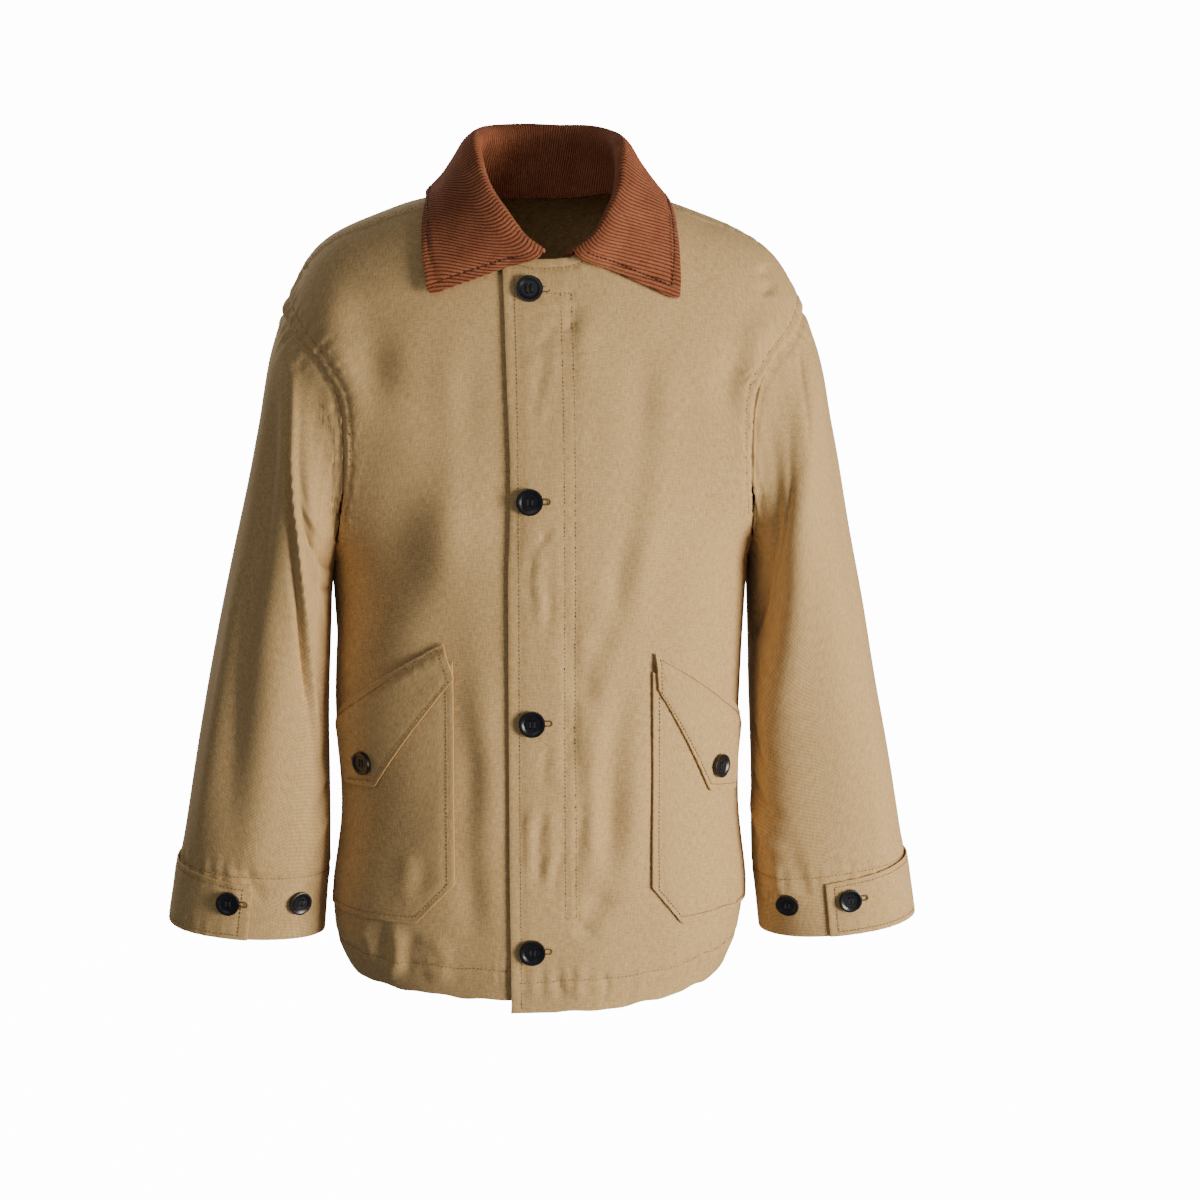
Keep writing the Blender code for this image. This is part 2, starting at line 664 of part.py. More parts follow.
def cuff_point(side, loop, angle, height, lift):
    """Point on a sleeve at an angle round it and a height above the cuff edge."""
    turn = (angle % 360) / 360
    last_ring = 1 / len(SLEEVE)
    length = (sleeve_point(side, loop, turn, 1.0) - sleeve_point(side, loop, turn, 1 - last_ring)).length
    return sleeve_surface(side, loop, turn, 1 - last_ring * height / length, lift)


def tab_place(side, loop):
    """Points of a cuff tab round the outer side of the sleeve."""

    def place(across, along):
        angle = TAB_BACK_ANGLE + (TAB_FRONT_ANGLES[side] - TAB_BACK_ANGLE) * across
        height = TAB_BACK_HEIGHT + (TAB_FRONT_HEIGHT - TAB_BACK_HEIGHT) * across
        return cuff_point(side, loop, angle, height * along, TAB_LIFT)

    return place


def button_mesh(name, radius):
    """Four-hole button, sunken middle and raised rim, its back at height 0."""
    profile = (
        (0.0, 0.0), (0.80, 0.0), (1.0, 0.35), (1.0, 0.80), (0.90, 1.0), (0.72, 0.92), (0.60, 0.62), (0.0, 0.62),
    )
    mesh = bpy.data.meshes.new(name)
    body = bmesh.new()
    verts = [body.verts.new((share * radius, 0, level * BUTTON_HEIGHT)) for share, level in profile]
    edges = [body.edges.new(pair) for pair in zip(verts, verts[1:])]
    bmesh.ops.spin(body, geom=verts + edges, cent=(0, 0, 0), axis=(0, 0, 1), angle=math.tau, steps=16,
                   use_merge=True)
    bmesh.ops.remove_doubles(body, verts=body.verts, dist=0.00002)
    bmesh.ops.recalc_face_normals(body, faces=body.faces)
    body.to_mesh(mesh)
    body.free()
    blank = bpy.data.objects.new(name + "_blank", mesh)
    cutters.objects.link(blank)
    drill_mesh = bpy.data.meshes.new(name + "_drill")
    drill = bmesh.new()
    for x in (-1, 1):
        for y in (-1, 1):
            spot = Matrix.Translation((x * radius * 0.20, y * radius * 0.20, BUTTON_HEIGHT / 2))
            bmesh.ops.create_cone(drill, cap_ends=True, segments=6, radius1=radius * 0.095,
                                  radius2=radius * 0.095, depth=BUTTON_HEIGHT * 2, matrix=spot)
    drill.to_mesh(drill_mesh)
    drill.free()
    holes = bpy.data.objects.new(name + "_drill", drill_mesh)
    cutters.objects.link(holes)
    cut = blank.modifiers.new("holes", "BOOLEAN")
    cut.object = holes
    cut.operation = "DIFFERENCE"
    cut.solver = "EXACT"
    bpy.context.view_layer.update()
    graph = bpy.context.evaluated_depsgraph_get()
    finished = bpy.data.meshes.new_from_object(blank.evaluated_get(graph))
    finished.name = name
    return finished


def button_piece(name, mesh, spot, normal):
    """A button standing on the cloth at a spot."""
    turn = normal.to_track_quat("Z", "Y").to_matrix().to_4x4()
    body = mesh.copy()
    body.transform(Matrix.Translation(spot + normal * BUTTON_GAP) @ turn)
    body.materials.clear()
    body.materials.append(button_material)
    piece = bpy.data.objects.new(name, body)
    jacket.objects.link(piece)
    return piece


def spot_normal(place, across, along, step):
    """Outward normal of a surface function at a spot."""
    side = place(across + step, along) - place(across - step, along)
    up = place(across, along + step) - place(across, along - step)
    return side.cross(up).normalized()


clear_file()
scene = bpy.context.scene
jacket = bpy.data.collections.new("chore_jacket")
scene.collection.children.link(jacket)
cutters = bpy.data.collections.new("cutters")
scene.collection.children.link(cutters)
cloth_material = make_material(CLOTH)
corduroy_material = make_material(CORDUROY)
button_material = make_material(BUTTON)

# Fronts and back
body_columns = NECK_STEPS + SHOULDER_STEPS
body_rows = LOW_STEPS + YOKE_STEPS
grid_piece("front_left", body_columns, body_rows, front_place(1), CLOTH_WALL, cloth_material)
grid_piece("front_right", body_columns, body_rows, front_place(-1), CLOTH_WALL, cloth_material, flip=True)
grid_piece("back", 2 * body_columns, body_rows, back_place, CLOTH_WALL, cloth_material)

# Sleeves, cuff tabs, pockets, flaps and their buttons
large_button = button_mesh("button_large", FRONT_BUTTON_RADIUS)
small_button = button_mesh("button_small", SMALL_BUTTON_RADIUS)
for side, name in ((1, "left"), (-1, "right")):
    loop = armhole_loop(side)

    def sleeve_place(across, along, side=side, loop=loop):
        return sleeve_surface(side, loop, across, along)

    grid_piece("sleeve_" + name, len(loop), SLEEVE_STEPS, sleeve_place, CLOTH_WALL, cloth_material,
               closed=True, flip=side > 0)
    tab = tab_place(side, loop)
    grid_piece("cuff_tab_" + name, *TAB_GRID, tab, POCKET_WALL, cloth_material, flip=side > 0)
    pocket = pocket_place(side, POCKET_LEFT if side > 0 else POCKET_RIGHT, FLAP_LEFT if side > 0 else FLAP_RIGHT)
    grid_piece("pocket_" + name, *POCKET_GRID, pocket, POCKET_WALL, cloth_material, flip=side < 0)
    flap = flap_place(side, FLAP_LEFT if side > 0 else FLAP_RIGHT)
    grid_piece("pocket_flap_" + name, *FLAP_GRID, flap, POCKET_WALL, cloth_material, flip=side < 0)
    normal = spot_normal(flap, *FLAP_BUTTON_SHARE, 0.02) * side
    button_piece("button_flap_" + name, small_button, flap(*FLAP_BUTTON_SHARE) + normal * POCKET_WALL / 2, normal)

    def cuff_place(angle, height, side=side, loop=loop):
        return cuff_point(side, loop, angle, height, CLOTH_WALL / 2)

    spots = (("tab", TAB_BUTTON_ANGLES[side], TAB_LIFT), ("spare", SPARE_BUTTON_ANGLES[side], 0.0))
    for label, angle, lift in spots:
        right_side = cuff_place(angle + 2, CUFF_BUTTON_HEIGHT) - cuff_place(angle - 2, CUFF_BUTTON_HEIGHT)
        upward = cuff_place(angle, CUFF_BUTTON_HEIGHT + 0.002) - cuff_place(angle, CUFF_BUTTON_HEIGHT - 0.002)
        normal = upward.cross(right_side).normalized() * side
        spot = cuff_place(angle, CUFF_BUTTON_HEIGHT) + normal * lift
        button_piece("button_" + label + "_" + name, small_button, spot, normal)

# Collar
grid_piece("collar", COLLAR_STEPS, COLLAR_ROWS, collar_place, COLLAR_WALL, corduroy_material)

# Front buttons, on the lap
for number, (_, across, height) in enumerate(FRONT_BUTTONS, 1):
    if height < UNDERARM_Z:
        rise = (height - UNDERARM_Z) / (UNDERARM_Z - HEM_FRONT_LEFT)
    else:
        share = (height - UNDERARM_Z) / (SHOULDER[0][2] - UNDERARM_Z)
        rise = math.asin(share ** (FRONT_DOME / 2)) * 2 / math.pi
    angle = angle_at(across, section_width(-1, rise))
    spot = front_surface(1, angle, rise)
    above = front_surface(1, angle, rise + 0.01)
    beside = front_surface(1, angle + 0.02, rise)
    normal = (beside - spot).cross(above - spot).normalized()
    button_piece("button_front_" + str(number), large_button, spot + normal * CLOTH_WALL / 2, normal)

for cutter in list(cutters.objects):
    bpy.data.objects.remove(cutter, do_unlink=True)
bpy.data.collections.remove(cutters)
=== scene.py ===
"""Chore jacket in tan cotton twill with a rust corduroy collar and dark four-hole buttons.

Metres, +X towards the wearer's left, +Y towards the wearer's back, +Z up.
"""

import math

import bpy
import numpy as np
from mathutils import Matrix, Vector


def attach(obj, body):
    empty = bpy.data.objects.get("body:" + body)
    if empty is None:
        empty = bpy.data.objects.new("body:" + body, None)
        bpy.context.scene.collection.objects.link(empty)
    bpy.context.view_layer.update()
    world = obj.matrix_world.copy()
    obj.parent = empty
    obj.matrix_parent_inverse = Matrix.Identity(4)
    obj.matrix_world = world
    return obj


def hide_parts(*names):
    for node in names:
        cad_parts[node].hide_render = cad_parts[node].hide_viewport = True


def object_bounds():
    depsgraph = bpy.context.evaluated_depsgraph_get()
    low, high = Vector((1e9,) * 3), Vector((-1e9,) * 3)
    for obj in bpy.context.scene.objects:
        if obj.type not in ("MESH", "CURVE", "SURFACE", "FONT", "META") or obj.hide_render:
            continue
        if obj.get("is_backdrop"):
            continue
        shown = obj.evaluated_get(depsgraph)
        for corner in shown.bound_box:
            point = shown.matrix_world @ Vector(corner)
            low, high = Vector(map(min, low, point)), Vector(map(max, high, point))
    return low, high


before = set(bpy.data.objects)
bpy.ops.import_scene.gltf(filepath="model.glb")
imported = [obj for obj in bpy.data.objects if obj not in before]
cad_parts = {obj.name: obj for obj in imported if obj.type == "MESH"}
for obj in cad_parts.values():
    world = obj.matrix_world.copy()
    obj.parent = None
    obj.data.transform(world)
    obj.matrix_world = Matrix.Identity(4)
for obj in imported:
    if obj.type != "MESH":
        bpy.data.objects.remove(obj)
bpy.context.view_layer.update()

# ------------------------------------------------------------------------------
# Fronts and back
# Two fronts and a back of tan cotton twill, sewn at the shoulders and sides. The wearer's left front laps
# over the right one and is buttoned. The cloth hangs from the shoulders in long soft folds, and each sewn
# line draws it in.
# ------------------------------------------------------------------------------
TWILL_WALL = 0.0015
EDGE_ROUNDING = 0.42
UNDERARM_Z = -0.31
SIDE_POWER = 2.2
FRONT_DOME = 2.5
BACK_DOME = 3.0
HEM_FRONT_LEFT = -0.695
HEM_SIDE_LEFT = -0.685
HEM_FRONT_RIGHT = -0.684
HEM_SIDE_RIGHT = -0.676
HEM_BACK = -0.684
# name, height, half width, front depth, back depth
TORSO = (
    ("hem", -0.69, 0.1655, 0.126, 0.115),
    ("hem_turn", -0.655, 0.178, 0.131, 0.119),
    ("hip", -0.612, 0.184, 0.133, 0.121),
    ("pocket", -0.53, 0.177, 0.131, 0.116),
    ("waist", -0.43, 0.179, 0.129, 0.109),
    ("underarm", -0.31, 0.185, 0.133, 0.116),
)
# name, share of the rise, half width, front armhole, back armhole
YOKE = (
    ("underarm", 0.0, 0.185, 0.185, 0.185),
    ("low", 0.07, 0.191, 0.1825, 0.184),
    ("hollow", 0.14, 0.205, 0.18, 0.183),
    ("chest", 0.28, 0.234, 0.176, 0.182),
    ("armhole", 0.42, 0.256, 0.1755, 0.1825),
    ("cap_front", 0.55, 0.267, 0.179, 0.185),
    ("cap", 0.65, 0.27, 0.1935, 0.196),
    ("cap_top", 0.8, 0.272, 0.2165, 0.215),
    ("shoulder", 1.0, 0.272, 0.232, 0.232),
)
# name, distance from the middle, height
SHOULDER = (
    ("neck", 0.0, 0.01),
    ("neck_side", 0.05, 0.009),
    ("high_point", 0.084, 0.007),
    ("collar_edge", 0.11, 0.002),
    ("inner", 0.14, -0.0085),
    ("middle", 0.17, -0.021),
    ("outer", 0.195, -0.036),
    ("turn", 0.21, -0.051),
    ("drop", 0.222, -0.071),
    ("end", 0.232, -0.093),
    ("beyond", 0.245, -0.13),
)
RIGHT_SIDE_IN = 0.0085
SHOULDER_SEAM_NECK = 0.14
SHOULDER_SEAM_END = 0.08
NECK_HALF = 0.084
# name, share of the half neck, front rise, back rise
NECKLINE = (
    ("middle", 0.0, 0.59, 0.826),
    ("near", 0.25, 0.598, 0.832),
    ("quarter", 0.5, 0.64, 0.852),
    ("side", 0.75, 0.728, 0.925),
    ("high_point", 1.0, 0.86, 1.14),
)
LAP_PAST_MIDDLE = 0.039
UNDER_PAST_MIDDLE = 0.03
LAP_LIFT = 0.0028
SEAM_GAP = 0.0003
# Creases: name, start x, start z, end x, end z, sideways bow, half width, height (out is plus)
FRONT_CREASES = (
    ("right_shoulder_ridge", -0.1838, -0.0455, -0.1733, -0.2037, -0.003, 0.0212, 0.0049),
    ("right_shoulder_trough", -0.1644, -0.0753, -0.1343, -0.1642, 0.004, 0.0212, -0.0046),
    ("right_chest_ridge", -0.1315, -0.0744, -0.1016, -0.34, -0.004, 0.0244, 0.0024),
    ("right_chest_trough", -0.1054, -0.0979, -0.1177, -0.36, 0.0, 0.026, -0.0027),
    ("right_slant_ridge", -0.0847, -0.2139, -0.1543, -0.4136, -0.006, 0.0275, 0.0051),
    ("right_slant_trough", -0.1069, -0.1889, -0.1755, -0.395, -0.006, 0.0293, -0.0036),
    ("right_leaf_trough", -0.0694, -0.0775, -0.0714, -0.33, 0.0, 0.0146, -0.0021),
    ("right_leaf_ridge", -0.0864, -0.0829, -0.0842, -0.32, 0.0, 0.0146, 0.0015),
    ("right_lap_trough", -0.0437, -0.0658, -0.0461, -0.3595, 0.0, 0.0162, -0.0028),
    ("right_belly_ridge", -0.0606, -0.2896, -0.058, -0.635, 0.003, 0.0151, 0.0034),
    ("right_belly_trough", -0.0731, -0.3958, -0.073, -0.6439, -0.002, 0.0114, -0.0034),
    ("right_pocket_ridge", -0.158, -0.33, -0.164, -0.76, 0.002, 0.045, 0.0075),
    ("right_pocket_low", -0.1085, -0.5489, -0.1169, -0.5949, -0.001, 0.0072, -0.001),
    ("right_pocket_low_ridge", -0.1226, -0.5426, -0.1263, -0.6002, -0.001, 0.0072, 0.0015),
    ("right_hem_trough", -0.12, -0.6178, -0.1265, -0.6648, -0.001, 0.005, -0.0019),
    ("right_hem_ridge", -0.1326, -0.6106, -0.1378, -0.6799, -0.001, 0.005, 0.0032),
    ("right_hem_second", -0.1454, -0.6139, -0.1429, -0.6612, -0.001, 0.004, -0.0024),
    ("right_hem_third", -0.1575, -0.613, -0.1542, -0.6609, -0.001, 0.005, 0.0024),
    ("right_hem_fourth", -0.0988, -0.6194, -0.1016, -0.6768, -0.001, 0.0078, 0.0018),
    ("lap_pull_a", 0.0044, -0.0843, -0.0158, -0.1214, -0.002, 0.0036, -0.0022),
    ("lap_pull_b", -0.0025, -0.111, -0.0208, -0.1788, -0.002, 0.0034, -0.0019),
    ("lap_ridge_a", -0.0046, -0.0895, -0.0209, -0.133, -0.002, 0.0036, 0.0017),
    ("lap_ridge_b", 0.0044, -0.1029, -0.0106, -0.1809, 0.001, 0.0036, 0.0017),
    ("lap_pull_c", -0.0001, -0.131, -0.0052, -0.1894, 0.001, 0.0032, -0.0013),
    ("lap_pull_d", -0.0043, -0.2573, -0.0199, -0.2861, -0.002, 0.0034, -0.0017),
    ("lap_pull_e", -0.0196, -0.2795, -0.0196, -0.3322, 0.001, 0.0034, -0.0017),
    ("lap_ridge_c", -0.0117, -0.2733, -0.0113, -0.3578, 0.002, 0.0038, 0.0014),
    ("lap_pull_f", -0.0025, -0.2896, -0.0044, -0.3669, 0.002, 0.0034, -0.0014),
    ("lap_pull_g", -0.0056, -0.4439, -0.0086, -0.4952, 0.001, 0.0036, -0.0014),
    ("lap_pull_h", -0.0086, -0.5077, -0.0148, -0.5813, 0.003, 0.0038, -0.0023),
    ("lap_ridge_d", -0.0016, -0.4952, -0.0038, -0.5863, 0.001, 0.0036, 0.0019),
    ("lap_pull_i", 0.0042, -0.528, -0.0001, -0.6037, 0.001, 0.0034, -0.0014),
    ("lap_ridge_e", -0.0178, -0.4952, -0.0225, -0.564, 0.001, 0.004, 0.0016),
    ("left_stitch_trough", 0.0167, -0.3251, 0.0132, -0.5015, 0.001, 0.008, -0.0022),
    ("left_neck_pull", 0.0228, -0.0737, 0.0165, -0.1112, 0.002, 0.0065, -0.0019),
    ("left_neck_ridge", 0.033, -0.0724, 0.0245, -0.1566, 0.002, 0.0113, 0.0019),
    ("left_chest_trough", 0.0855, -0.0932, 0.067, -0.3, 0.003, 0.0146, -0.0022),
    ("left_chest_ridge", 0.0997, -0.1001, 0.0842, -0.33, 0.003, 0.0162, 0.0019),
    ("left_mid_trough", 0.0683, -0.259, 0.0486, -0.3609, 0.003, 0.0114, -0.0036),
    ("left_mid_ridge", 0.0852, -0.2432, 0.0691, -0.3634, 0.003, 0.0139, 0.0034),
    ("left_belly_trough", 0.052, -0.3354, 0.0218, -0.4265, 0.003, 0.0114, -0.0036),
    ("left_low_trough", 0.0635, -0.3805, 0.0474, -0.5969, 0.004, 0.0126, -0.0044),
    ("left_low_ridge", 0.0801, -0.3651, 0.0658, -0.6223, 0.004, 0.0151, 0.0041),
    ("left_foot_trough", 0.0499, -0.5756, 0.0211, -0.6311, 0.003, 0.0114, -0.004),
    ("left_low_second", 0.0362, -0.4138, 0.031, -0.591, 0.002, 0.0088, 0.0023),
    ("left_low_third", 0.026, -0.4487, 0.0237, -0.5731, 0.002, 0.0056, -0.0018),
    ("left_shoulder_trough", 0.175, -0.0933, 0.1495, -0.1858, 0.005, 0.0162, -0.0046),
    ("left_shoulder_ridge", 0.1889, -0.0794, 0.1737, -0.1793, 0.005, 0.013, 0.0039),
    ("left_shoulder_top", 0.1914, -0.0488, 0.1951, -0.0796, 0.001, 0.0072, -0.003),
    ("left_side_trough", 0.1495, -0.1858, 0.1371, -0.2996, 0.003, 0.0194, -0.0019),
    ("left_hem_side", 0.1684, -0.5744, 0.1613, -0.6462, 0.001, 0.005, 0.0029),
    ("left_hem_side_trough", 0.1605, -0.5795, 0.1503, -0.6409, 0.001, 0.005, -0.0022),
    ("left_hem_a", 0.0186, -0.6447, 0.0197, -0.6882, 0.0, 0.004, 0.0016),
    ("left_hem_b", 0.0036, -0.6481, 0.0057, -0.6873, 0.0, 0.0035, -0.0014),
    ("left_hem_c", 0.0432, -0.6515, 0.0446, -0.694, 0.0, 0.004, -0.0013),
    ("left_hem_d", 0.0739, -0.6545, 0.0753, -0.6943, 0.0, 0.005, 0.0013),
)
BACK_CREASES = (
    ("left_blade", 0.135, -0.11, 0.112, -0.64, 0.004, 0.022, 0.0066),
    ("left_hollow", 0.088, -0.2, 0.074, -0.72, -0.003, 0.022, -0.006),
    ("middle", 0.012, -0.16, 0.018, -0.72, 0.004, 0.026, 0.0051),
    ("right_hollow", -0.07, -0.18, -0.078, -0.72, 0.004, 0.024, -0.006),
    ("right_blade", -0.13, -0.12, -0.118, -0.66, -0.004, 0.021, 0.0063),
    ("blade_left_pull", 0.165, -0.14, 0.118, -0.3, 0.012, 0.01, -0.0036),
    ("blade_left_ridge", 0.172, -0.18, 0.135, -0.35, 0.01, 0.009, 0.0039),
    ("blade_right_pull", -0.162, -0.15, -0.116, -0.29, -0.012, 0.01, -0.0036),
    ("blade_right_ridge", -0.17, -0.19, -0.132, -0.36, -0.01, 0.009, 0.0039),
    ("nape_left", 0.03, -0.04, 0.045, -0.24, 0.008, 0.011, 0.0021),
    ("nape_right", -0.036, -0.045, -0.04, -0.26, -0.006, 0.012, 0.0019),
    ("middle_left", 0.04, -0.3, 0.036, -0.6, 0.006, 0.011, -0.0024),
    ("middle_right", -0.03, -0.33, -0.034, -0.64, -0.005, 0.012, 0.0023),
    ("low_left", 0.108, -0.43, 0.094, -0.68, 0.006, 0.01, 0.0027),
    ("low_right", -0.1, -0.4, -0.098, -0.66, -0.006, 0.011, -0.0027),
    ("hem_left", 0.06, -0.59, 0.058, -0.695, 0.002, 0.007, 0.0023),
    ("hem_middle", 0.004, -0.6, 0.002, -0.695, 0.002, 0.007, -0.0021),
    ("hem_right", -0.062, -0.585, -0.066, -0.695, 0.002, 0.007, 0.0023),
)
NECK_STEPS = 6
NECK_CROWDING = 0.5
SHOULDER_STEPS = 11
SEAM_CROWDING = 0.45
LOW_STEPS = 12
YOKE_STEPS = 11
SEWN_HALF = 0.0026
SEAM_SINK = 0.0016
ALLOWANCE = 0.0065
ALLOWANCE_DROP = 0.0025


def smooth_step(value):
    """0 to 1 with level ends."""
    value = np.clip(value, 0.0, 1.0)
    return value * value * (3.0 - 2.0 * value)


def signed_power(value, power):
    """Power that keeps the sign."""
    return np.sign(value) * np.abs(value) ** power


def table_value(rows, key, column):
    """Smooth value of a named column at a key, the key being column 1 of the rows."""
    keys = np.array([row[1] for row in rows], float)
    values = np.array([row[column] for row in rows], float)
    before = np.maximum(np.arange(len(rows)) - 1, 0)
    after = np.minimum(np.arange(len(rows)) + 1, len(rows) - 1)
    slopes = (values[after] - values[before]) / (keys[after] - keys[before])
    key = np.clip(key, keys[0], keys[-1])
    low = np.clip(np.searchsorted(keys, key, side="right") - 1, 0, len(rows) - 2)
    span = keys[low + 1] - keys[low]
    t = (key - keys[low]) / span
    start = (2 * t ** 3 - 3 * t ** 2 + 1) * values[low] + (t ** 3 - 2 * t ** 2 + t) * span * slopes[low]
    end = (3 * t ** 2 - 2 * t ** 3) * values[low + 1] + (t ** 3 - t ** 2) * span * slopes[low + 1]
    return start + end


def unit(vectors):
    """Vectors of length 1."""
    return vectors / np.maximum(np.linalg.norm(vectors, axis=-1, keepdims=True), 1e-12)


def dome_power(face):
    """Curve of the chest or of the back above the underarm."""
    return np.where(face < 0, FRONT_DOME, BACK_DOME)


def hem_height(face, angle):
    """Height of the hem edge; the wearer's left side hangs a little lower."""
    side = signed_power(np.sin(angle), 3)
    back = HEM_BACK + (np.where(side > 0, HEM_SIDE_LEFT, HEM_SIDE_RIGHT) - HEM_BACK) * np.abs(side)
    left = HEM_FRONT_LEFT + (HEM_SIDE_LEFT - HEM_FRONT_LEFT) * side
    right = HEM_FRONT_RIGHT - (HEM_SIDE_RIGHT - HEM_FRONT_RIGHT) * side
    scallop = 0.0008 * np.sin(angle * 17) + 0.0005 * np.sin(angle * 31)
    return np.where(face > 0, back, np.where(side > 0, left, right)) + scallop


def settled(points):
    """The wearer's right side sits a little further in."""
    inward = smooth_step((-points[..., 0] - 0.17) / 0.06)
    inward = inward * (1 - 0.5 * smooth_step((-points[..., 2] - 0.2) / 0.4))
    points = points.copy()
    points[..., 0] += RIGHT_SIDE_IN * inward
    return points


def torso_point(face, angle, rise, hem=None):
    """Bare torso form. Face -1 is the front; rise -1 is the hem, 0 the underarm, 1 the shoulder line."""
    angle, rise = np.broadcast_arrays(np.asarray(angle, float), np.asarray(rise, float))
    face = np.where(rise > 1, -face, face)
    rise = np.where(rise > 1, 2 - rise, rise)
    across = signed_power(np.sin(angle), 2 / SIDE_POWER)
    forward = signed_power(np.cos(angle), 2 / SIDE_POWER)
    edge = hem_height(face, angle) if hem is None else hem
    height = UNDERARM_Z + rise * (UNDERARM_Z - edge)
    depth = np.where(face < 0, table_value(TORSO, height, 3), table_value(TORSO, height, 4))
    low = np.stack([table_value(TORSO, height, 2) * across, face * depth * forward, height], -1)
    power = 2 / dome_power(face)
    turn = np.clip(rise, 0, 1) * math.pi / 2
    share = np.sin(turn) ** power
    x = table_value(YOKE, share, 2) * across
    ridge = table_value(SHOULDER, np.abs(x), 2)
    depth = np.where(face < 0, TORSO[-1][3], TORSO[-1][4]) * np.maximum(np.cos(turn), 0.0) ** power
    high = np.stack([x, face * depth * forward, UNDERARM_Z + share * (ridge - UNDERARM_Z)], -1)
    return np.where((rise <= 0)[..., None], low, settled(high))


def section_width(face, rise):
    """Half width of the torso form at a rise."""
    rise = np.asarray(rise, float)
    low = table_value(TORSO, UNDERARM_Z + np.minimum(rise, 0) * (UNDERARM_Z - HEM_BACK), 2)
    power = 2 / dome_power(np.where(rise > 1, -face, face))
    share = np.abs(np.sin(np.clip(rise, 0, 2) * math.pi / 2)) ** power
    return np.where(rise <= 0, low, table_value(YOKE, share, 2))


def angle_at(x, width):
    """Angle round the torso whose across value is x."""
    return np.copysign(np.arcsin(np.minimum(1.0, np.abs(x) / width) ** (SIDE_POWER / 2)), x)


def outer_angle(face, rise):
    """Angle of the side seam, or of the armhole above the underarm."""
    turn = np.clip(np.where(rise > 1, 2 - rise, rise), 0, 1) * math.pi / 2
    share = np.sin(turn) ** (2 / dome_power(face))
    armhole = angle_at(table_value(YOKE, share, 3 if face < 0 else 4), table_value(YOKE, share, 2))
    return np.where(rise <= 0, math.pi / 2, armhole)


def crease_height(rows, x, z):
    """Sum of creases: soft ridges and troughs along bowed lines, uneven along their length."""
    total = 0.0
    for number, (_, start_x, start_z, end_x, end_z, bow, half_width, height) in enumerate(rows):
        along_x = end_x - start_x
        along_z = end_z - start_z
        length = math.hypot(along_x, along_z)
        share = ((x - start_x) * along_x + (z - start_z) * along_z) / length ** 2
        across = ((x - start_x) * along_z - (z - start_z) * along_x) / length
        wander = bow * 4 * share * (1 - share) + 0.0012 * np.sin(share * 9 + number * 2.1)
        ends = smooth_step(share / 0.35) * smooth_step((1 - share) / 0.30)
        uneven = 1 + 0.30 * np.sin(share * 11 + number * 1.7)
        total = total + height * uneven * ends * np.exp(-((across - wander) / half_width) ** 2)
    return total


def drape(points, seed):
    """The cloth's own slow unevenness, under a millimetre, from a few long waves."""
    waves = np.random.default_rng(seed)
    total = 0.0
    for wavelength, height in ((0.125, 0.0009), (0.070, 0.0004), (0.038, 0.00012)):
        for _ in range(3):
            heading = waves.normal(size=3) * (1.0, 1.0, 0.55)
            phase = waves.uniform(0, math.tau)
            total = total + height / 1.7 * np.sin(points @ (unit(heading) * math.tau / wavelength) + phase)
    return total


def torso_surface(face, angle, rise, lift=0.0, hem=None):
    """Torso form with its creases, moved out by lift."""
    base = torso_point(face, angle, rise, hem)
    step = 0.004
    side = torso_point(face, angle + step, rise, hem) - torso_point(face, angle - step, rise, hem)
    up = torso_point(face, angle, rise + step, hem) - torso_point(face, angle, rise - step, hem)
    normal = unit(np.cross(side, up)) * -face
    seam = smooth_step((outer_angle(face, rise) - np.abs(angle)) / 0.12) * smooth_step((0.98 - rise) / 0.14)
    crease = crease_height(FRONT_CREASES if face < 0 else BACK_CREASES, base[..., 0], base[..., 2])
    return base + normal * (lift + seam * (crease + drape(base, 11)))[..., None]


def back_surface(angle, rise):
    """The back's outer side."""
    return torso_surface(1, angle, rise)


def lap_lift(x):
    """The wearer's left front lies over the other near the middle."""
    return LAP_LIFT * smooth_step((0.085 - x) / 0.05)


def front_surface(side, angle, rise, lift=0.0):
    """A front's outer side. Side 1 is the wearer's left, which laps over."""
    middle_hem = HEM_FRONT_LEFT if side > 0 else HEM_FRONT_RIGHT
    hem = np.where(side * angle > 0, hem_height(-1, angle), middle_hem)
    if side > 0:
        lift = lift + lap_lift(torso_point(-1, angle, rise, hem)[..., 0])
    return torso_surface(-1, angle, rise, lift, hem)


def neck_rise(face, angle):
    """Rise of the neckline, or of the shoulder seam beyond the high point."""
    high = angle_at(NECK_HALF, YOKE[-1][2])
    share = (np.sin(np.abs(angle)) / np.sin(high)) ** (2 / SIDE_POWER)
    neck = table_value(NECKLINE, share, 2 if face < 0 else 3)
    end = outer_angle(face, 1.0)
    far = np.abs(angle) - high
    seam = SHOULDER_SEAM_NECK + (SHOULDER_SEAM_END - SHOULDER_SEAM_NECK) * far / (end - high)
    return np.where(share <= 1, neck, 1 + face * seam)


def column_angle(share, inner, outer):
    """Angle of a grid column: even up to the neck's high point, then even to the outer seam."""
    high = angle_at(NECK_HALF, YOKE[-1][2])
    turn = NECK_STEPS / (NECK_STEPS + SHOULDER_STEPS)
    near = np.clip(share / turn, 0, 1)
    far = np.clip((share - turn) / (1 - turn), 0, 1)
    inside = inner + (high - inner) * near * (1 + NECK_CROWDING * (1 - near))
    outside = high + (outer - high) * far * (1 + SEAM_CROWDING * (1 - far))
    return np.where(share <= turn, inside, outside)


def row_rise(share, face, top):
    """Rise of a grid row: even up to the underarm, then even along the chest and over the shoulder."""
    turn = LOW_STEPS / (LOW_STEPS + YOKE_STEPS)
    above = np.clip((share - turn) / (1 - turn), 0, 1) ** (dome_power(face) / 2)
    return np.where(share <= turn, share / turn - 1, top * above)


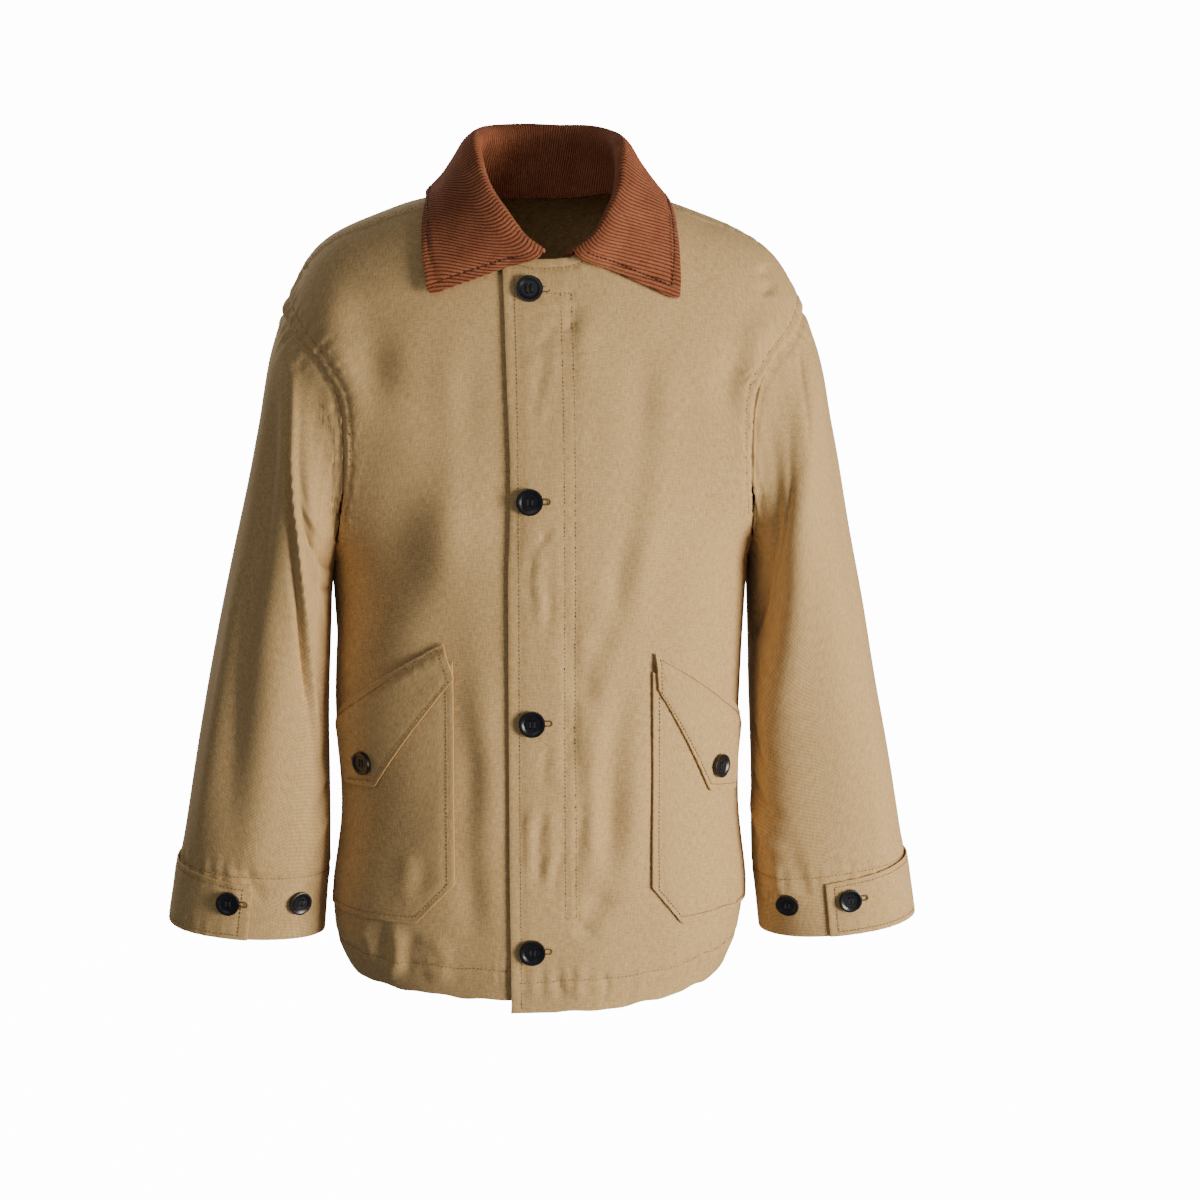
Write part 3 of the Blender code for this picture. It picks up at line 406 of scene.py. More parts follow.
def front_place(side):
    """Function from shares of a front's width and length to its points."""
    past = LAP_PAST_MIDDLE if side > 0 else UNDER_PAST_MIDDLE

    def place(across, along):
        probe = row_rise(along, -1, 1 - SHOULDER_SEAM_END)
        inner = -angle_at(past, section_width(-1, probe))
        outer = outer_angle(-1, probe) - SEAM_GAP / TORSO[-1][3]
        angle = column_angle(across, inner, outer)
        top = neck_rise(-1, angle) - SEAM_GAP / TORSO[-1][3]
        return front_surface(side, side * angle, row_rise(along, -1, top))

    return place


def back_place(across, along):
    """Points of the back, from its left side seam to its right one."""
    probe = row_rise(along, 1, 1 + SHOULDER_SEAM_END)
    outer = outer_angle(1, probe) - SEAM_GAP / TORSO[-1][3]
    angle = np.where(across < 0.5, 1, -1) * column_angle(np.abs(1 - 2 * across), 0.0, outer)
    return torso_surface(1, angle, row_rise(along, 1, neck_rise(1, angle)))


def spread(columns, rows):
    """Shares across and along of an even grid."""
    return np.meshgrid(np.linspace(0, 1, columns + 1), np.linspace(0, 1, rows + 1))


def grid_normals(points, closed=False):
    """Normals of a grid of points, across turned to along."""
    if closed:
        around = np.concatenate([points[:, -2:-1], points, points[:, 1:2]], 1)
        side = around[:, 2:] - around[:, :-2]
    else:
        side = np.gradient(points, axis=1)
    return unit(np.cross(side, np.gradient(points, axis=0)))


def trace(place, across, along, lift=0.0, side=1):
    """A line on a piece: its points and outward normals, the points raised by lift."""
    across, along = np.broadcast_arrays(np.asarray(across, float), np.asarray(along, float))
    step = 0.004
    sideways = place(across + step, along) - place(across - step, along)
    upward = place(across, along + step) - place(across, along - step)
    normals = unit(np.cross(sideways, upward)) * side
    return place(across, along) + normals * lift, normals


def lengths_along(line):
    """Distance of each point of a line from its start."""
    return np.concatenate([[0.0], np.cumsum(np.linalg.norm(np.diff(line, axis=0), axis=1))])


def even_line(points, spacing):
    """Places along a line at an even spacing, as positions among its points."""
    far = lengths_along(points)
    count = max(2, int(far[-1] / spacing))
    return np.interp((np.arange(count) + 0.5) / count * far[-1], far, np.arange(len(points)))


def between(values, places):
    """Values of a line at positions among its points."""
    low = np.minimum(places.astype(int), len(values) - 2)
    part = (places - low)[:, None]
    return values[low] * (1 - part) + values[low + 1] * part


def seam_pull(points, lines, seed, height=0.0010, reach=0.0045, sink=0.0007):
    """Puckers of sewing: the cloth sinks on each line, rises a few millimetres away, uneven along it."""
    flat = points.reshape(-1, 3)
    total = np.zeros(len(flat))
    chance = np.random.default_rng(seed)
    for line, _ in lines:
        steps = between(line, even_line(line, 0.002))
        phases = chance.uniform(0, math.tau, 5)
        lengths = chance.uniform(0.0065, 0.0150, 3)
        low = steps.min(0) - 4 * reach
        high = steps.max(0) + 4 * reach
        near = np.flatnonzero(((flat > low) & (flat < high)).all(1))
        for start in range(0, len(near), 3000):
            part = near[start:start + 3000]
            away = np.linalg.norm(flat[part][:, None] - steps[None], axis=2)
            place = away.argmin(1)
            away = away[np.arange(len(part)), place]
            far = place * 0.002
            waves = [np.sin(far * math.tau / length + phase) for length, phase in zip(lengths, phases)]
            wave = sum(waves) / 1.8
            uneven = 0.55 + 0.45 * np.sin(far * 52 + phases[3]) * np.sin(far * 23 + phases[4])
            raised = height * (0.35 + wave * uneven) * (away / reach) * np.exp(1 - away / reach)
            total[part] += raised - sink * np.exp(-(away / SEWN_HALF) ** 2)
    return total.reshape(points.shape[:2])


def with_allowance(points, normals, width, weight=1.0):
    """A grid of points with a seam allowance before its first row, turned in under the cloth beside it."""
    back = unit(points[0] - points[2])
    weight = np.broadcast_to(np.asarray(weight, float), points.shape[1:2])[:, None]
    near = points[0] + (back * width * 0.4 - normals[0] * ALLOWANCE_DROP) * weight
    far = points[0] + (back * width - normals[0] * ALLOWANCE_DROP * 1.15) * weight
    return np.concatenate([far[None], near[None], points])


def new_object(name, data):
    """An object with its data, linked to the scene."""
    made = bpy.data.objects.new(name, data)
    bpy.context.collection.objects.link(made)
    return made


def select_only(piece):
    """Makes a piece the only selected one."""
    bpy.ops.object.select_all(action="DESELECT")
    piece.select_set(True)
    bpy.context.view_layer.objects.active = piece


def apply_modifier(piece, kind, **settings):
    """Adds a modifier with its settings and applies it."""
    modifier = piece.modifiers.new(kind.lower(), kind)
    for key, value in settings.items():
        setattr(modifier, key, value)
    select_only(piece)
    bpy.ops.object.modifier_apply(modifier=modifier.name)


def cloth_sheet(name, points, wall, closed=False, across=None):
    """A piece of cloth from a grid of points, its wall given by Solidify and its cut edges rounded.

    The weave map is in metres: across the piece, or as given, and along it.
    """
    rows, columns = points.shape[:2]
    used = columns - 1 if closed else columns
    row, column = np.meshgrid(np.arange(rows - 1), np.arange(columns - 1), indexing="ij")
    corners = [(row, column), (row, column + 1), (row + 1, column + 1), (row + 1, column)]
    faces = np.stack([r * used + c % used for r, c in corners], -1).reshape(-1, 4)
    mesh = bpy.data.meshes.new(name)
    mesh.from_pydata(points[:, :used].reshape(-1, 3), [], faces)
    if across is None:
        across = np.cumsum(np.linalg.norm(np.diff(points, axis=1, prepend=points[:, :1]), axis=2), 1)
    along = np.cumsum(np.linalg.norm(np.diff(points, axis=0, prepend=points[:1]), axis=2), 0)
    weave = np.stack([np.stack([across[r, c], along[r, c]], -1) for r, c in corners], 2).reshape(-1, 2)
    mesh.uv_layers.new(name="weave").data.foreach_set("uv", weave.ravel())
    mesh.shade_smooth()
    piece = new_object(name, mesh)
    apply_modifier(piece, "SOLIDIFY", thickness=wall, offset=0.0)
    apply_modifier(piece, "BEVEL", width=wall * EDGE_ROUNDING, segments=2, limit_method="ANGLE",
                   angle_limit=math.radians(60))
    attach(piece, "root")
    return piece


def stitch_row(lines, length, thickness, gap):
    """Vertices and faces of a row of sewn stitches along lines with normals."""
    verts = []
    faces = []
    around = np.arange(5) * math.tau / 5
    ring = np.stack([np.cos(around), np.sin(around)], 1) * thickness / 2
    for line, normals in lines:
        places = even_line(line, length + gap)
        spots = between(line, places)
        out = unit(between(normals, places))
        ahead = between(line, np.minimum(places + 0.3, len(line) - 1.001))
        behind = between(line, np.maximum(places - 0.3, 0))
        forward = unit(ahead - behind)
        beside = unit(np.cross(forward, out))
        for spot, f, n, b in zip(spots, forward, out, beside):
            first = len(verts)
            verts.append(spot - f * length / 2 - n * thickness * 0.5)
            for reach in (-0.30, 0.30):
                for c, s in ring:
                    verts.append(spot + f * length * reach + b * c + n * (s + thickness * 0.15))
            verts.append(spot + f * length / 2 - n * thickness * 0.5)
            for i in range(5):
                j = (i + 1) % 5
                faces.append((first, first + 1 + j, first + 1 + i))
                faces.append((first + 1 + i, first + 1 + j, first + 6 + j, first + 6 + i))
                faces.append((first + 11, first + 6 + i, first + 6 + j))
    return verts, faces


def sewing(name, lines, material, length=0.0026, thickness=0.0008, gap=0.0009):
    """Sewn lines as one piece, each stitch a small bead of thread that dips into the cloth at its ends."""
    verts, faces = stitch_row(lines, length, thickness, gap)
    mesh = bpy.data.meshes.new(name)
    mesh.from_pydata([tuple(v) for v in verts], [], faces)
    mesh.shade_smooth()
    mesh.materials.append(material)
    piece = new_object(name, mesh)
    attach(piece, "root")
    return piece


def linear(hex_colour, alpha=1.0):
    """An sRGB hex colour as linear values."""
    parts = [int(hex_colour[i:i + 2], 16) / 255 for i in (1, 3, 5)]
    return tuple(p / 12.92 if p <= 0.04045 else ((p + 0.055) / 1.055) ** 2.4 for p in parts) + (alpha,)


def add_node(tree, kind, inputs=(), **settings):
    """A node with its settings, and its inputs as values or as (node, output) links."""
    node = tree.nodes.new(kind)
    for key, value in settings.items():
        setattr(node, key, value)
    for socket, value in dict(inputs).items():
        if isinstance(value, tuple) and isinstance(value[0], bpy.types.Node):
            tree.links.new(value[0].outputs[value[1]], node.inputs[socket])
        else:
            node.inputs[socket].default_value = value
    return node


def new_material(name, roughness, **sockets):
    """A material with an empty Principled shader set to constant values."""
    material = bpy.data.materials.new(name)
    material.use_nodes = True
    shader = material.node_tree.nodes["Principled BSDF"]
    shader.inputs["Roughness"].default_value = roughness
    for socket, value in sockets.items():
        shader.inputs[socket.replace("_", " ")].default_value = value
    return material, material.node_tree, shader


def ramp_stops(ramp, stops):
    """Sets the stops of a colour ramp."""
    elements = ramp.color_ramp.elements
    while len(elements) < len(stops):
        elements.new(0.5)
    for element, (place, colour) in zip(elements, stops):
        element.position = place
        element.color = colour


def thread_material(name, roughness, sheen, scale, dark, light, relief=0.0):
    """A spun thread, its colour uneven along its fibres, raised by them if relief is given."""
    material, tree, shader = new_material(name, roughness, Sheen_Weight=sheen)
    coords = add_node(tree, "ShaderNodeTexCoord")
    fibre = add_node(tree, "ShaderNodeTexNoise",
                     {"Vector": (coords, "Object"), "Scale": scale, "Detail": 2.0})
    colour = add_node(tree, "ShaderNodeValToRGB", {"Fac": (fibre, "Fac")})
    ramp_stops(colour, ((0.35, linear(dark)), (0.65, linear(light))))
    tree.links.new(colour.outputs["Color"], shader.inputs["Base Color"])
    if relief:
        bump = add_node(tree, "ShaderNodeBump",
                        {"Height": (fibre, "Fac"), "Strength": relief, "Distance": 0.0002})
        tree.links.new(bump.outputs["Normal"], shader.inputs["Normal"])
    return material


# Cotton twill, yarn dyed in the piece: a fine slanting rib, dry and matt, its face a little napped by
# washing. The real rib is 0.6 mm; it is drawn 1.3 mm wide, the finest that shows a pixel pattern at this
# distance.
twill, tree, shader = new_material("cotton_twill", 0.94, Sheen_Weight=0.16, Sheen_Roughness=0.45,
                                   Sheen_Tint=linear("#F2E4C8"), Specular_IOR_Level=0.2)
weave_uv = add_node(tree, "ShaderNodeUVMap", uv_map="weave")
rib_place = add_node(tree, "ShaderNodeMapping", {"Vector": (weave_uv, "UV"), "Scale": (1.0, 0.62, 1.0)})
rib = add_node(tree, "ShaderNodeTexWave", {"Vector": (rib_place, "Vector"), "Scale": 340.0, "Distortion": 1.2,
                                           "Detail": 2.0, "Detail Scale": 1.5},
               wave_type="BANDS", bands_direction="DIAGONAL")
yarn_place = add_node(tree, "ShaderNodeMapping", {"Vector": (weave_uv, "UV"), "Scale": (900.0, 130.0, 1.0)})
yarn = add_node(tree, "ShaderNodeTexNoise", {"Vector": (yarn_place, "Vector"), "Scale": 1.0, "Detail": 2.0})
pick_place = add_node(tree, "ShaderNodeMapping", {"Vector": (weave_uv, "UV"), "Scale": (170.0, 800.0, 1.0)})
pick = add_node(tree, "ShaderNodeTexNoise", {"Vector": (pick_place, "Vector"), "Scale": 1.0, "Detail": 2.0})
coords = add_node(tree, "ShaderNodeTexCoord")
mottle = add_node(tree, "ShaderNodeTexNoise", {"Vector": (coords, "Object"), "Scale": 40.0, "Detail": 4.0,
                                               "Roughness": 0.6})
grain = add_node(tree, "ShaderNodeMath", {0: (yarn, "Fac"), 1: (pick, "Fac")}, operation="ADD")
tone = add_node(tree, "ShaderNodeMath", {0: (rib, "Fac"), 1: 0.22, 2: (grain, "Value")},
                operation="MULTIPLY_ADD")
tone = add_node(tree, "ShaderNodeMath", {0: (mottle, "Fac"), 1: 0.08, 2: (tone, "Value")},
                operation="MULTIPLY_ADD")
tone = add_node(tree, "ShaderNodeMath", {0: (tone, "Value"), 1: 0.42}, operation="MULTIPLY")
cloth_colour = add_node(tree, "ShaderNodeValToRGB", {"Fac": (tone, "Value")})
ramp_stops(cloth_colour, ((0.36, linear("#B79561")), (0.50, linear("#C9A874")), (0.64, linear("#D9BB8A"))))
tree.links.new(cloth_colour.outputs["Color"], shader.inputs["Base Color"])
relief = add_node(tree, "ShaderNodeMath", {0: (rib, "Fac"), 1: 0.45, 2: (grain, "Value")},
                  operation="MULTIPLY_ADD")
bump = add_node(tree, "ShaderNodeBump", {"Height": (relief, "Value"), "Strength": 0.28, "Distance": 0.0003})
slack = add_node(tree, "ShaderNodeTexNoise", {"Vector": (coords, "Object"), "Scale": 210.0, "Detail": 3.0})
bump = add_node(tree, "ShaderNodeBump", {"Height": (slack, "Fac"), "Strength": 0.06, "Distance": 0.0005,
                                         "Normal": (bump, "Normal")})
tree.links.new(bump.outputs["Normal"], shader.inputs["Normal"])

# Sewing thread, spun polyester dyed to match the twill: two plies twisted, with a faint shine. It is drawn
# darker than the twill, painted shade for the shadow along the sewn lines.
thread = thread_material("twill_thread", 0.62, 0.1, 900.0, "#86683A", "#B39460", relief=0.4)


def body_line(surface, x, z, lift, side=1):
    """A sewn line on the torso through the given x and z values."""
    x, z = np.broadcast_arrays(np.asarray(x, float), np.asarray(z, float))
    low = (z - UNDERARM_Z) / (UNDERARM_Z - HEM_FRONT_LEFT)
    share = np.clip((z - UNDERARM_Z) / (table_value(SHOULDER, np.abs(x), 2) - UNDERARM_Z), 0, 1)
    rise = np.where(z < UNDERARM_Z, low, np.arcsin(share ** (FRONT_DOME / 2)) * 2 / math.pi)
    angle = angle_at(x, section_width(-1, rise))
    return trace(surface, angle, rise, lift, side)


EDGE_SEWING_X = {1: -0.0296, -1: 0.0205}
PLACKET_SEWING_X = (0.0090, 0.0182)
PLACKET_TOP_Z = -0.0698
PLACKET_FOOT_Z = -0.6085
HEM_SEWING = 0.03
BACK_HEM_SEWING_RISE = -0.918
ARMHOLE_SEWING = 0.04
FRONT_SHOULDER_SEWING = 0.03
BACK_SHOULDER_SEWING = 0.024
THREAD_LIFT = TWILL_WALL / 2 - 0.0003
FRONT_GRID = (108, 290)
BACK_GRID = (160, 220)
for side, name in ((1, "left"), (-1, "right")):
    place = front_place(side)

    def surface(angle, rise, side=side):
        return front_surface(side, angle, rise)

    steps = np.linspace(0, 1, 140)
    lines = []
    hem_rise = -1 + HEM_SEWING / (UNDERARM_Z - HEM_FRONT_LEFT)
    start = -angle_at(LAP_PAST_MIDDLE if side > 0 else UNDER_PAST_MIDDLE, section_width(-1, -0.9))
    angles = side * (start + 0.02 + (math.pi / 2 - 0.03 - start) * steps)
    lines.append(trace(surface, angles, hem_rise + 0.002 * np.sin(angles * 9), THREAD_LIFT))
    high = angle_at(NECK_HALF, YOKE[-1][2])
    angles = side * (start * 0.75 + (high * 0.97 - start * 0.75) * steps)
    lines.append(trace(surface, angles, neck_rise(-1, angles) - FRONT_SHOULDER_SEWING, THREAD_LIFT))
    rises = np.linspace(0.06, 0.90, 110)
    lines.append(trace(surface, side * (outer_angle(-1, rises) - ARMHOLE_SEWING), rises, THREAD_LIFT))
    edge_x = EDGE_SEWING_X[side]
    rises = np.linspace(-0.992, 0.570, 260)
    lines.append(trace(surface, np.copysign(angle_at(abs(edge_x), section_width(-1, rises)), edge_x), rises,
                       THREAD_LIFT))
    if side > 0:
        heights = np.linspace(PLACKET_TOP_Z, PLACKET_FOOT_Z, 200)
        lines.extend(body_line(surface, x, heights, THREAD_LIFT) for x in PLACKET_SEWING_X)
        lines.append(body_line(surface, np.linspace(-0.004, PLACKET_SEWING_X[1], 20), PLACKET_TOP_Z,
                               THREAD_LIFT))
        lines.append(body_line(surface, np.linspace(*PLACKET_SEWING_X, 12), PLACKET_FOOT_Z, THREAD_LIFT))
    points = place(*spread(*FRONT_GRID))
    edge = trace(place, 1.0, np.linspace(0.55, 1.0, 90))
    normals = grid_normals(points) * side
    pull = seam_pull(points, lines[:3], 21 + side) + seam_pull(points, [edge], 25 + side, sink=SEAM_SINK)
    pull = pull + seam_pull(points, lines[3:], 31 + side, height=0.0006)
    points = points + normals * pull[..., None]
    piece = cloth_sheet("twill_front_" + name, points, TWILL_WALL)
    piece.data.materials.append(twill)
    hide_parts("front_" + name)
    sewing("sewing_front_" + name, lines, thread)

# The back hangs from the shoulder seams and the neck, with the same hem.
points = back_place(*spread(*BACK_GRID))
normals = grid_normals(points)
steps = np.linspace(-1, 1, 300)
hem_line = trace(back_surface, steps * (math.pi / 2 - 0.02), BACK_HEM_SEWING_RISE, THREAD_LIFT, -1)
back_lines = [hem_line]
for side in (1, -1):
    rises = np.linspace(0.06, 1.06, 120)
    back_lines.append(trace(back_surface, side * (outer_angle(1, rises) - ARMHOLE_SEWING), rises,
                            THREAD_LIFT, -1))
    high = float(angle_at(NECK_HALF, YOKE[-1][2]))
    angles = side * np.linspace(high * 1.02, float(outer_angle(1, 1.0)) - 0.03, 80)
    back_lines.append(trace(back_surface, angles, neck_rise(1, angles) - BACK_SHOULDER_SEWING,
                            THREAD_LIFT, -1))
edges = [trace(back_place, across, np.linspace(0.55, 1.0, 90)) for across in (0.0, 1.0)]
outward = normals * np.sign(normals[..., 1].sum())
pull = seam_pull(points, back_lines, 41) + seam_pull(points, edges, 43, sink=SEAM_SINK)
points = points + outward * pull[..., None]
beyond_neck = smooth_step((np.abs(points[-1, :, 0]) - NECK_HALF - 0.004) / 0.010)
upside = with_allowance(points[::-1], outward[::-1], ALLOWANCE, beyond_neck)
points = upside[::-1]
outward = np.concatenate([outward, outward[-1:], outward[-1:]])
for _ in range(2):
    points = with_allowance(points.swapaxes(0, 1), outward.swapaxes(0, 1), ALLOWANCE).swapaxes(0, 1)[:, ::-1]
    outward = np.concatenate([outward[:, :1], outward[:, :1], outward], 1)[:, ::-1]
piece = cloth_sheet("twill_back", points, TWILL_WALL)
piece.data.materials.append(twill)
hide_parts("back")
sewing("sewing_back", back_lines, thread)

# ------------------------------------------------------------------------------
# Sleeves
# One-piece dropped sleeves of the same twill, sewn into the armholes, with a deep turned hem at the cuff.
# They hang in long troughs from the cap and pinch at the elbow.
# ------------------------------------------------------------------------------
# name, outer x, outer z, inner x, inner z, half depth, middle y
SLEEVE = (
    ("cap", 0.2425, -0.122, 0.1885, -0.322, 0.093, -0.002),
    ("upper", 0.256, -0.188, 0.1895, -0.352, 0.089, -0.003),
    ("biceps", 0.2715, -0.268, 0.1905, -0.392, 0.084, -0.005),
    ("elbow", 0.291, -0.36, 0.1915, -0.45, 0.077, -0.008),
    ("forearm", 0.309, -0.455, 0.1925, -0.52, 0.069, -0.013),
    ("lower", 0.325, -0.555, 0.195, -0.588, 0.06, -0.018),
    ("cuff_top", 0.332, -0.598, 0.198, -0.62, 0.055, -0.02),
    ("cuff", 0.3385, -0.641, 0.201, -0.653, 0.052, -0.021),
)
SLEEVE_POWER = 2.15
SLEEVE_RADIUS = 0.07
SLEEVE_LENGTH = 0.56
CUFF_DROP = {1: -0.0055, -1: 0.0100}
ARMHOLE_GAP = 0.0004
UNDERARM_GAP = 0.002
# Creases of the left and the right sleeve: name, angle at the top, share at the top, angle at the foot,
# share at the foot, half width, height
SLEEVE_CREASES = {
    1: (
        ("front_ridge", 76.0, 0.05, 138.0, 0.62, 0.024, 0.0056),
        ("front_trough", 104.0, 0.03, 188.0, 0.44, 0.012, -0.005),
        ("front_tuck", 86.0, 0.05, 150.0, 0.36, 0.0055, -0.0022),
        ("fore_ridge", 140.0, 0.3, 132.0, 1.02, 0.03, 0.008),
        ("outer_soft", 30.0, 0.16, 50.0, 0.62, 0.013, -0.0022),
        ("outer_low", 46.0, 0.5, 58.0, 0.86, 0.012, 0.0018),
        ("inner_pinch", 186.0, 0.58, 130.0, 0.68, 0.0065, -0.0044),
        ("inner_pinch_ridge", 184.0, 0.64, 128.0, 0.735, 0.006, 0.003),
        ("inner_second", 176.0, 0.5, 138.0, 0.6, 0.0065, -0.0028),
        ("cuff_valley", 126.0, 0.69, 114.0, 0.88, 0.008, -0.0022),
        ("cuff_ridge", 142.0, 0.72, 134.0, 0.9, 0.0075, 0.0018),
        ("cap_pull", 60.0, 0.01, 76.0, 0.16, 0.005, -0.0018),
        ("rear_trough", 282.0, 0.14, 262.0, 0.74, 0.013, -0.005),
        ("rear_ridge", 318.0, 0.2, 300.0, 0.82, 0.013, 0.0038),
        ("rear_elbow", 232.0, 0.36, 268.0, 0.48, 0.0065, -0.003),
        ("rear_elbow_ridge", 226.0, 0.42, 262.0, 0.55, 0.006, 0.0028),
        ("rear_low", 216.0, 0.52, 256.0, 0.64, 0.0065, -0.0026),
        ("rear_cap", 296.0, 0.02, 284.0, 0.24, 0.007, -0.0022),
    ),
    -1: (
        ("fold_edge", 58.0, 0.03, 146.0, 0.62, 0.0065, 0.0058),
        ("fold_tuck", 48.0, 0.04, 136.0, 0.6, 0.0055, -0.0042),
        ("fold_shadow", 42.0, 0.06, 66.0, 0.76, 0.0135, -0.0066),
        ("fold_face", 84.0, 0.06, 150.0, 0.34, 0.012, 0.002),
        ("fore_ridge", 92.0, 0.4, 86.0, 0.86, 0.015, 0.0034),
        ("outer_ridge", 34.0, 0.38, 42.0, 0.8, 0.011, 0.0024),
        ("elbow_pinch", 96.0, 0.235, 156.0, 0.1, 0.006, -0.005),
        ("elbow_ridge", 90.0, 0.195, 150.0, 0.055, 0.0055, 0.0034),
        ("elbow_second", 104.0, 0.3, 160.0, 0.17, 0.006, -0.0026),
        ("inner_low", 168.0, 0.6, 124.0, 0.68, 0.0055, -0.0026),
        ("inner_low_ridge", 164.0, 0.66, 122.0, 0.74, 0.005, 0.002),
        ("cuff_trough", 82.0, 0.76, 96.0, 0.9, 0.005, -0.0016),
        ("cuff_ridge", 70.0, 0.78, 84.0, 0.91, 0.005, 0.0014),
        ("rear_trough", 282.0, 0.14, 262.0, 0.74, 0.013, -0.005),
        ("rear_ridge", 316.0, 0.22, 298.0, 0.82, 0.013, 0.0038),
        ("rear_elbow", 236.0, 0.38, 270.0, 0.47, 0.0065, -0.003),
        ("rear_elbow_ridge", 228.0, 0.44, 264.0, 0.54, 0.006, 0.0028),
        ("rear_low", 218.0, 0.54, 258.0, 0.63, 0.0065, -0.0026),
        ("rear_cap", 292.0, 0.02, 280.0, 0.26, 0.007, -0.0022),
    ),
}
CUFF_SEWING = 0.0585
SLEEVE_GRID = (138, 176)


def curve_point(points, share):
    """Points on smooth curves through all rows of points, share 0 to 1 over equal spans."""
    last = len(points) - 1
    steps = np.diff(points, axis=0)
    lengths = np.linalg.norm(steps, axis=-1, keepdims=True)
    heads = steps / lengths
    slopes = np.concatenate([heads[:1], (heads[:-1] * lengths[1:] + heads[1:] * lengths[:-1])
                             / (lengths[1:] + lengths[:-1]), heads[-1:]])
    place = np.clip(share, 0, 1) * last
    low = np.minimum(place.astype(int), last - 1)
    t = (place - low)[..., None]
    pick = tuple(np.indices(low.shape))

    def at(values, index):
        return values[(index,) + pick] if values.shape[1:-1] == low.shape else values[index]

    span = at(lengths, low)
    start = at(points, low) * (2 * t ** 3 - 3 * t ** 2 + 1) \
        + at(slopes, low) * (t ** 3 - 2 * t ** 2 + t) * span
    end = at(points, low + 1) * (3 * t ** 2 - 2 * t ** 3) + at(slopes, low + 1) * (t ** 3 - t ** 2) * span
    return start + end


def ring_point(side, row, turn):
    """Points of one sleeve ring; turn 0 is the outer side, a quarter the front, a half the underarm side."""
    _, outer_x, outer_z, inner_x, inner_z, half_depth, middle_y = row
    drop = CUFF_DROP[side] * smooth_step((-outer_z - 0.12) / 0.5)
    across = signed_power(np.cos(turn * math.tau), 2 / SLEEVE_POWER)
    depth = signed_power(np.sin(turn * math.tau), 2 / SLEEVE_POWER)
    x = (outer_x + inner_x) / 2 + (outer_x - inner_x) / 2 * across
    z = (outer_z + inner_z) / 2 + drop + (outer_z - inner_z) / 2 * across
    return settled(np.stack([side * x, middle_y - half_depth * depth, z], -1))


def armhole_loop(side):
    """Armhole corners in order: shoulder, front, underarm, back, just off the body's edges."""
    down = np.arange(YOKE_STEPS, -1, -1) / YOKE_STEPS
    front = (1 - SHOULDER_SEAM_END) * down ** (FRONT_DOME / 2)
    back = (1 + SHOULDER_SEAM_END) * (np.arange(1, YOKE_STEPS) / YOKE_STEPS) ** (BACK_DOME / 2)
    loop = np.concatenate([torso_point(-1, side * outer_angle(-1, front), front),
                           torso_point(1, side * outer_angle(1, back), back)])
    turn = np.arange(len(loop)) / len(loop)
    low = smooth_step(1.6 - np.abs(turn - 0.5) / 0.15)
    loop = loop + unit(ring_point(side, SLEEVE[0], turn) - loop) * ARMHOLE_GAP
    loop[:, 0] += side * UNDERARM_GAP * low
    return loop


def loop_point(loop, share):
    """Points on the closed armhole loop, share 0 to 1 over equal steps."""
    place = (share % 1.0) * len(loop)
    low = (place + 1e-9).astype(int)
    part = np.maximum(0.0, place - low)[..., None]
    return loop[low % len(loop)] * (1 - part) + loop[(low + 1) % len(loop)] * part


def sleeve_point(side, loop, turn, share):
    """Bare sleeve form; share 0 is the armhole, 1 the cuff edge."""
    turn, share = np.broadcast_arrays(np.asarray(turn, float), np.asarray(share, float))
    rings = [ring_point(side, row, turn) for row in SLEEVE]
    return curve_point(np.stack([loop_point(loop, turn)] + rings), share)


def sleeve_surface(side, loop, turn, share, lift=0.0):
    """Sleeve form with its creases, moved out by lift."""
    turn, share = np.broadcast_arrays(np.asarray(turn, float), np.asarray(share, float))
    base = sleeve_point(side, loop, turn, share)
    step = 0.004
    around = sleeve_point(side, loop, turn + step, share) - sleeve_point(side, loop, turn - step, share)
    along = sleeve_point(side, loop, turn, np.minimum(1, share + step)) \
        - sleeve_point(side, loop, turn, np.maximum(0, share - step))
    normal = unit(np.cross(around, along)) * side
    total = drape(base, 12) * smooth_step(share / 0.06) + lift
    degrees = np.degrees(turn * math.tau)
    for _, top_angle, top_share, foot_angle, foot_share, half_width, height in SLEEVE_CREASES[side]:
        if foot_share < top_share:
            top_angle, top_share, foot_angle, foot_share = foot_angle, foot_share, top_angle, top_share
        place = (share - top_share) / (foot_share - top_share)
        middle = top_angle + (foot_angle - top_angle) * place
        away = np.radians((degrees - middle + 180) % 360 - 180) * SLEEVE_RADIUS
        drop = (foot_share - top_share) * SLEEVE_LENGTH
        steep = math.radians(foot_angle - top_angle) * SLEEVE_RADIUS / drop
        ends = smooth_step(place / 0.28) * smooth_step((1 - place) / 0.30)
        total = total + height * ends * np.exp(-(away / half_width) ** 2 / (1 + steep ** 2))
    return base + normal * total[..., None]


def cuff_point(side, loop, angle, height, lift):
    """Points on a sleeve at an angle round it and a height above the cuff edge."""
    turn = (np.asarray(angle, float) % 360) / 360
    last_ring = 1 / len(SLEEVE)
    ring = sleeve_point(side, loop, turn, 1 - last_ring)
    length = np.linalg.norm(sleeve_point(side, loop, turn, 1.0) - ring, axis=-1)
    return sleeve_surface(side, loop, turn, 1 - last_ring * height / length, lift)


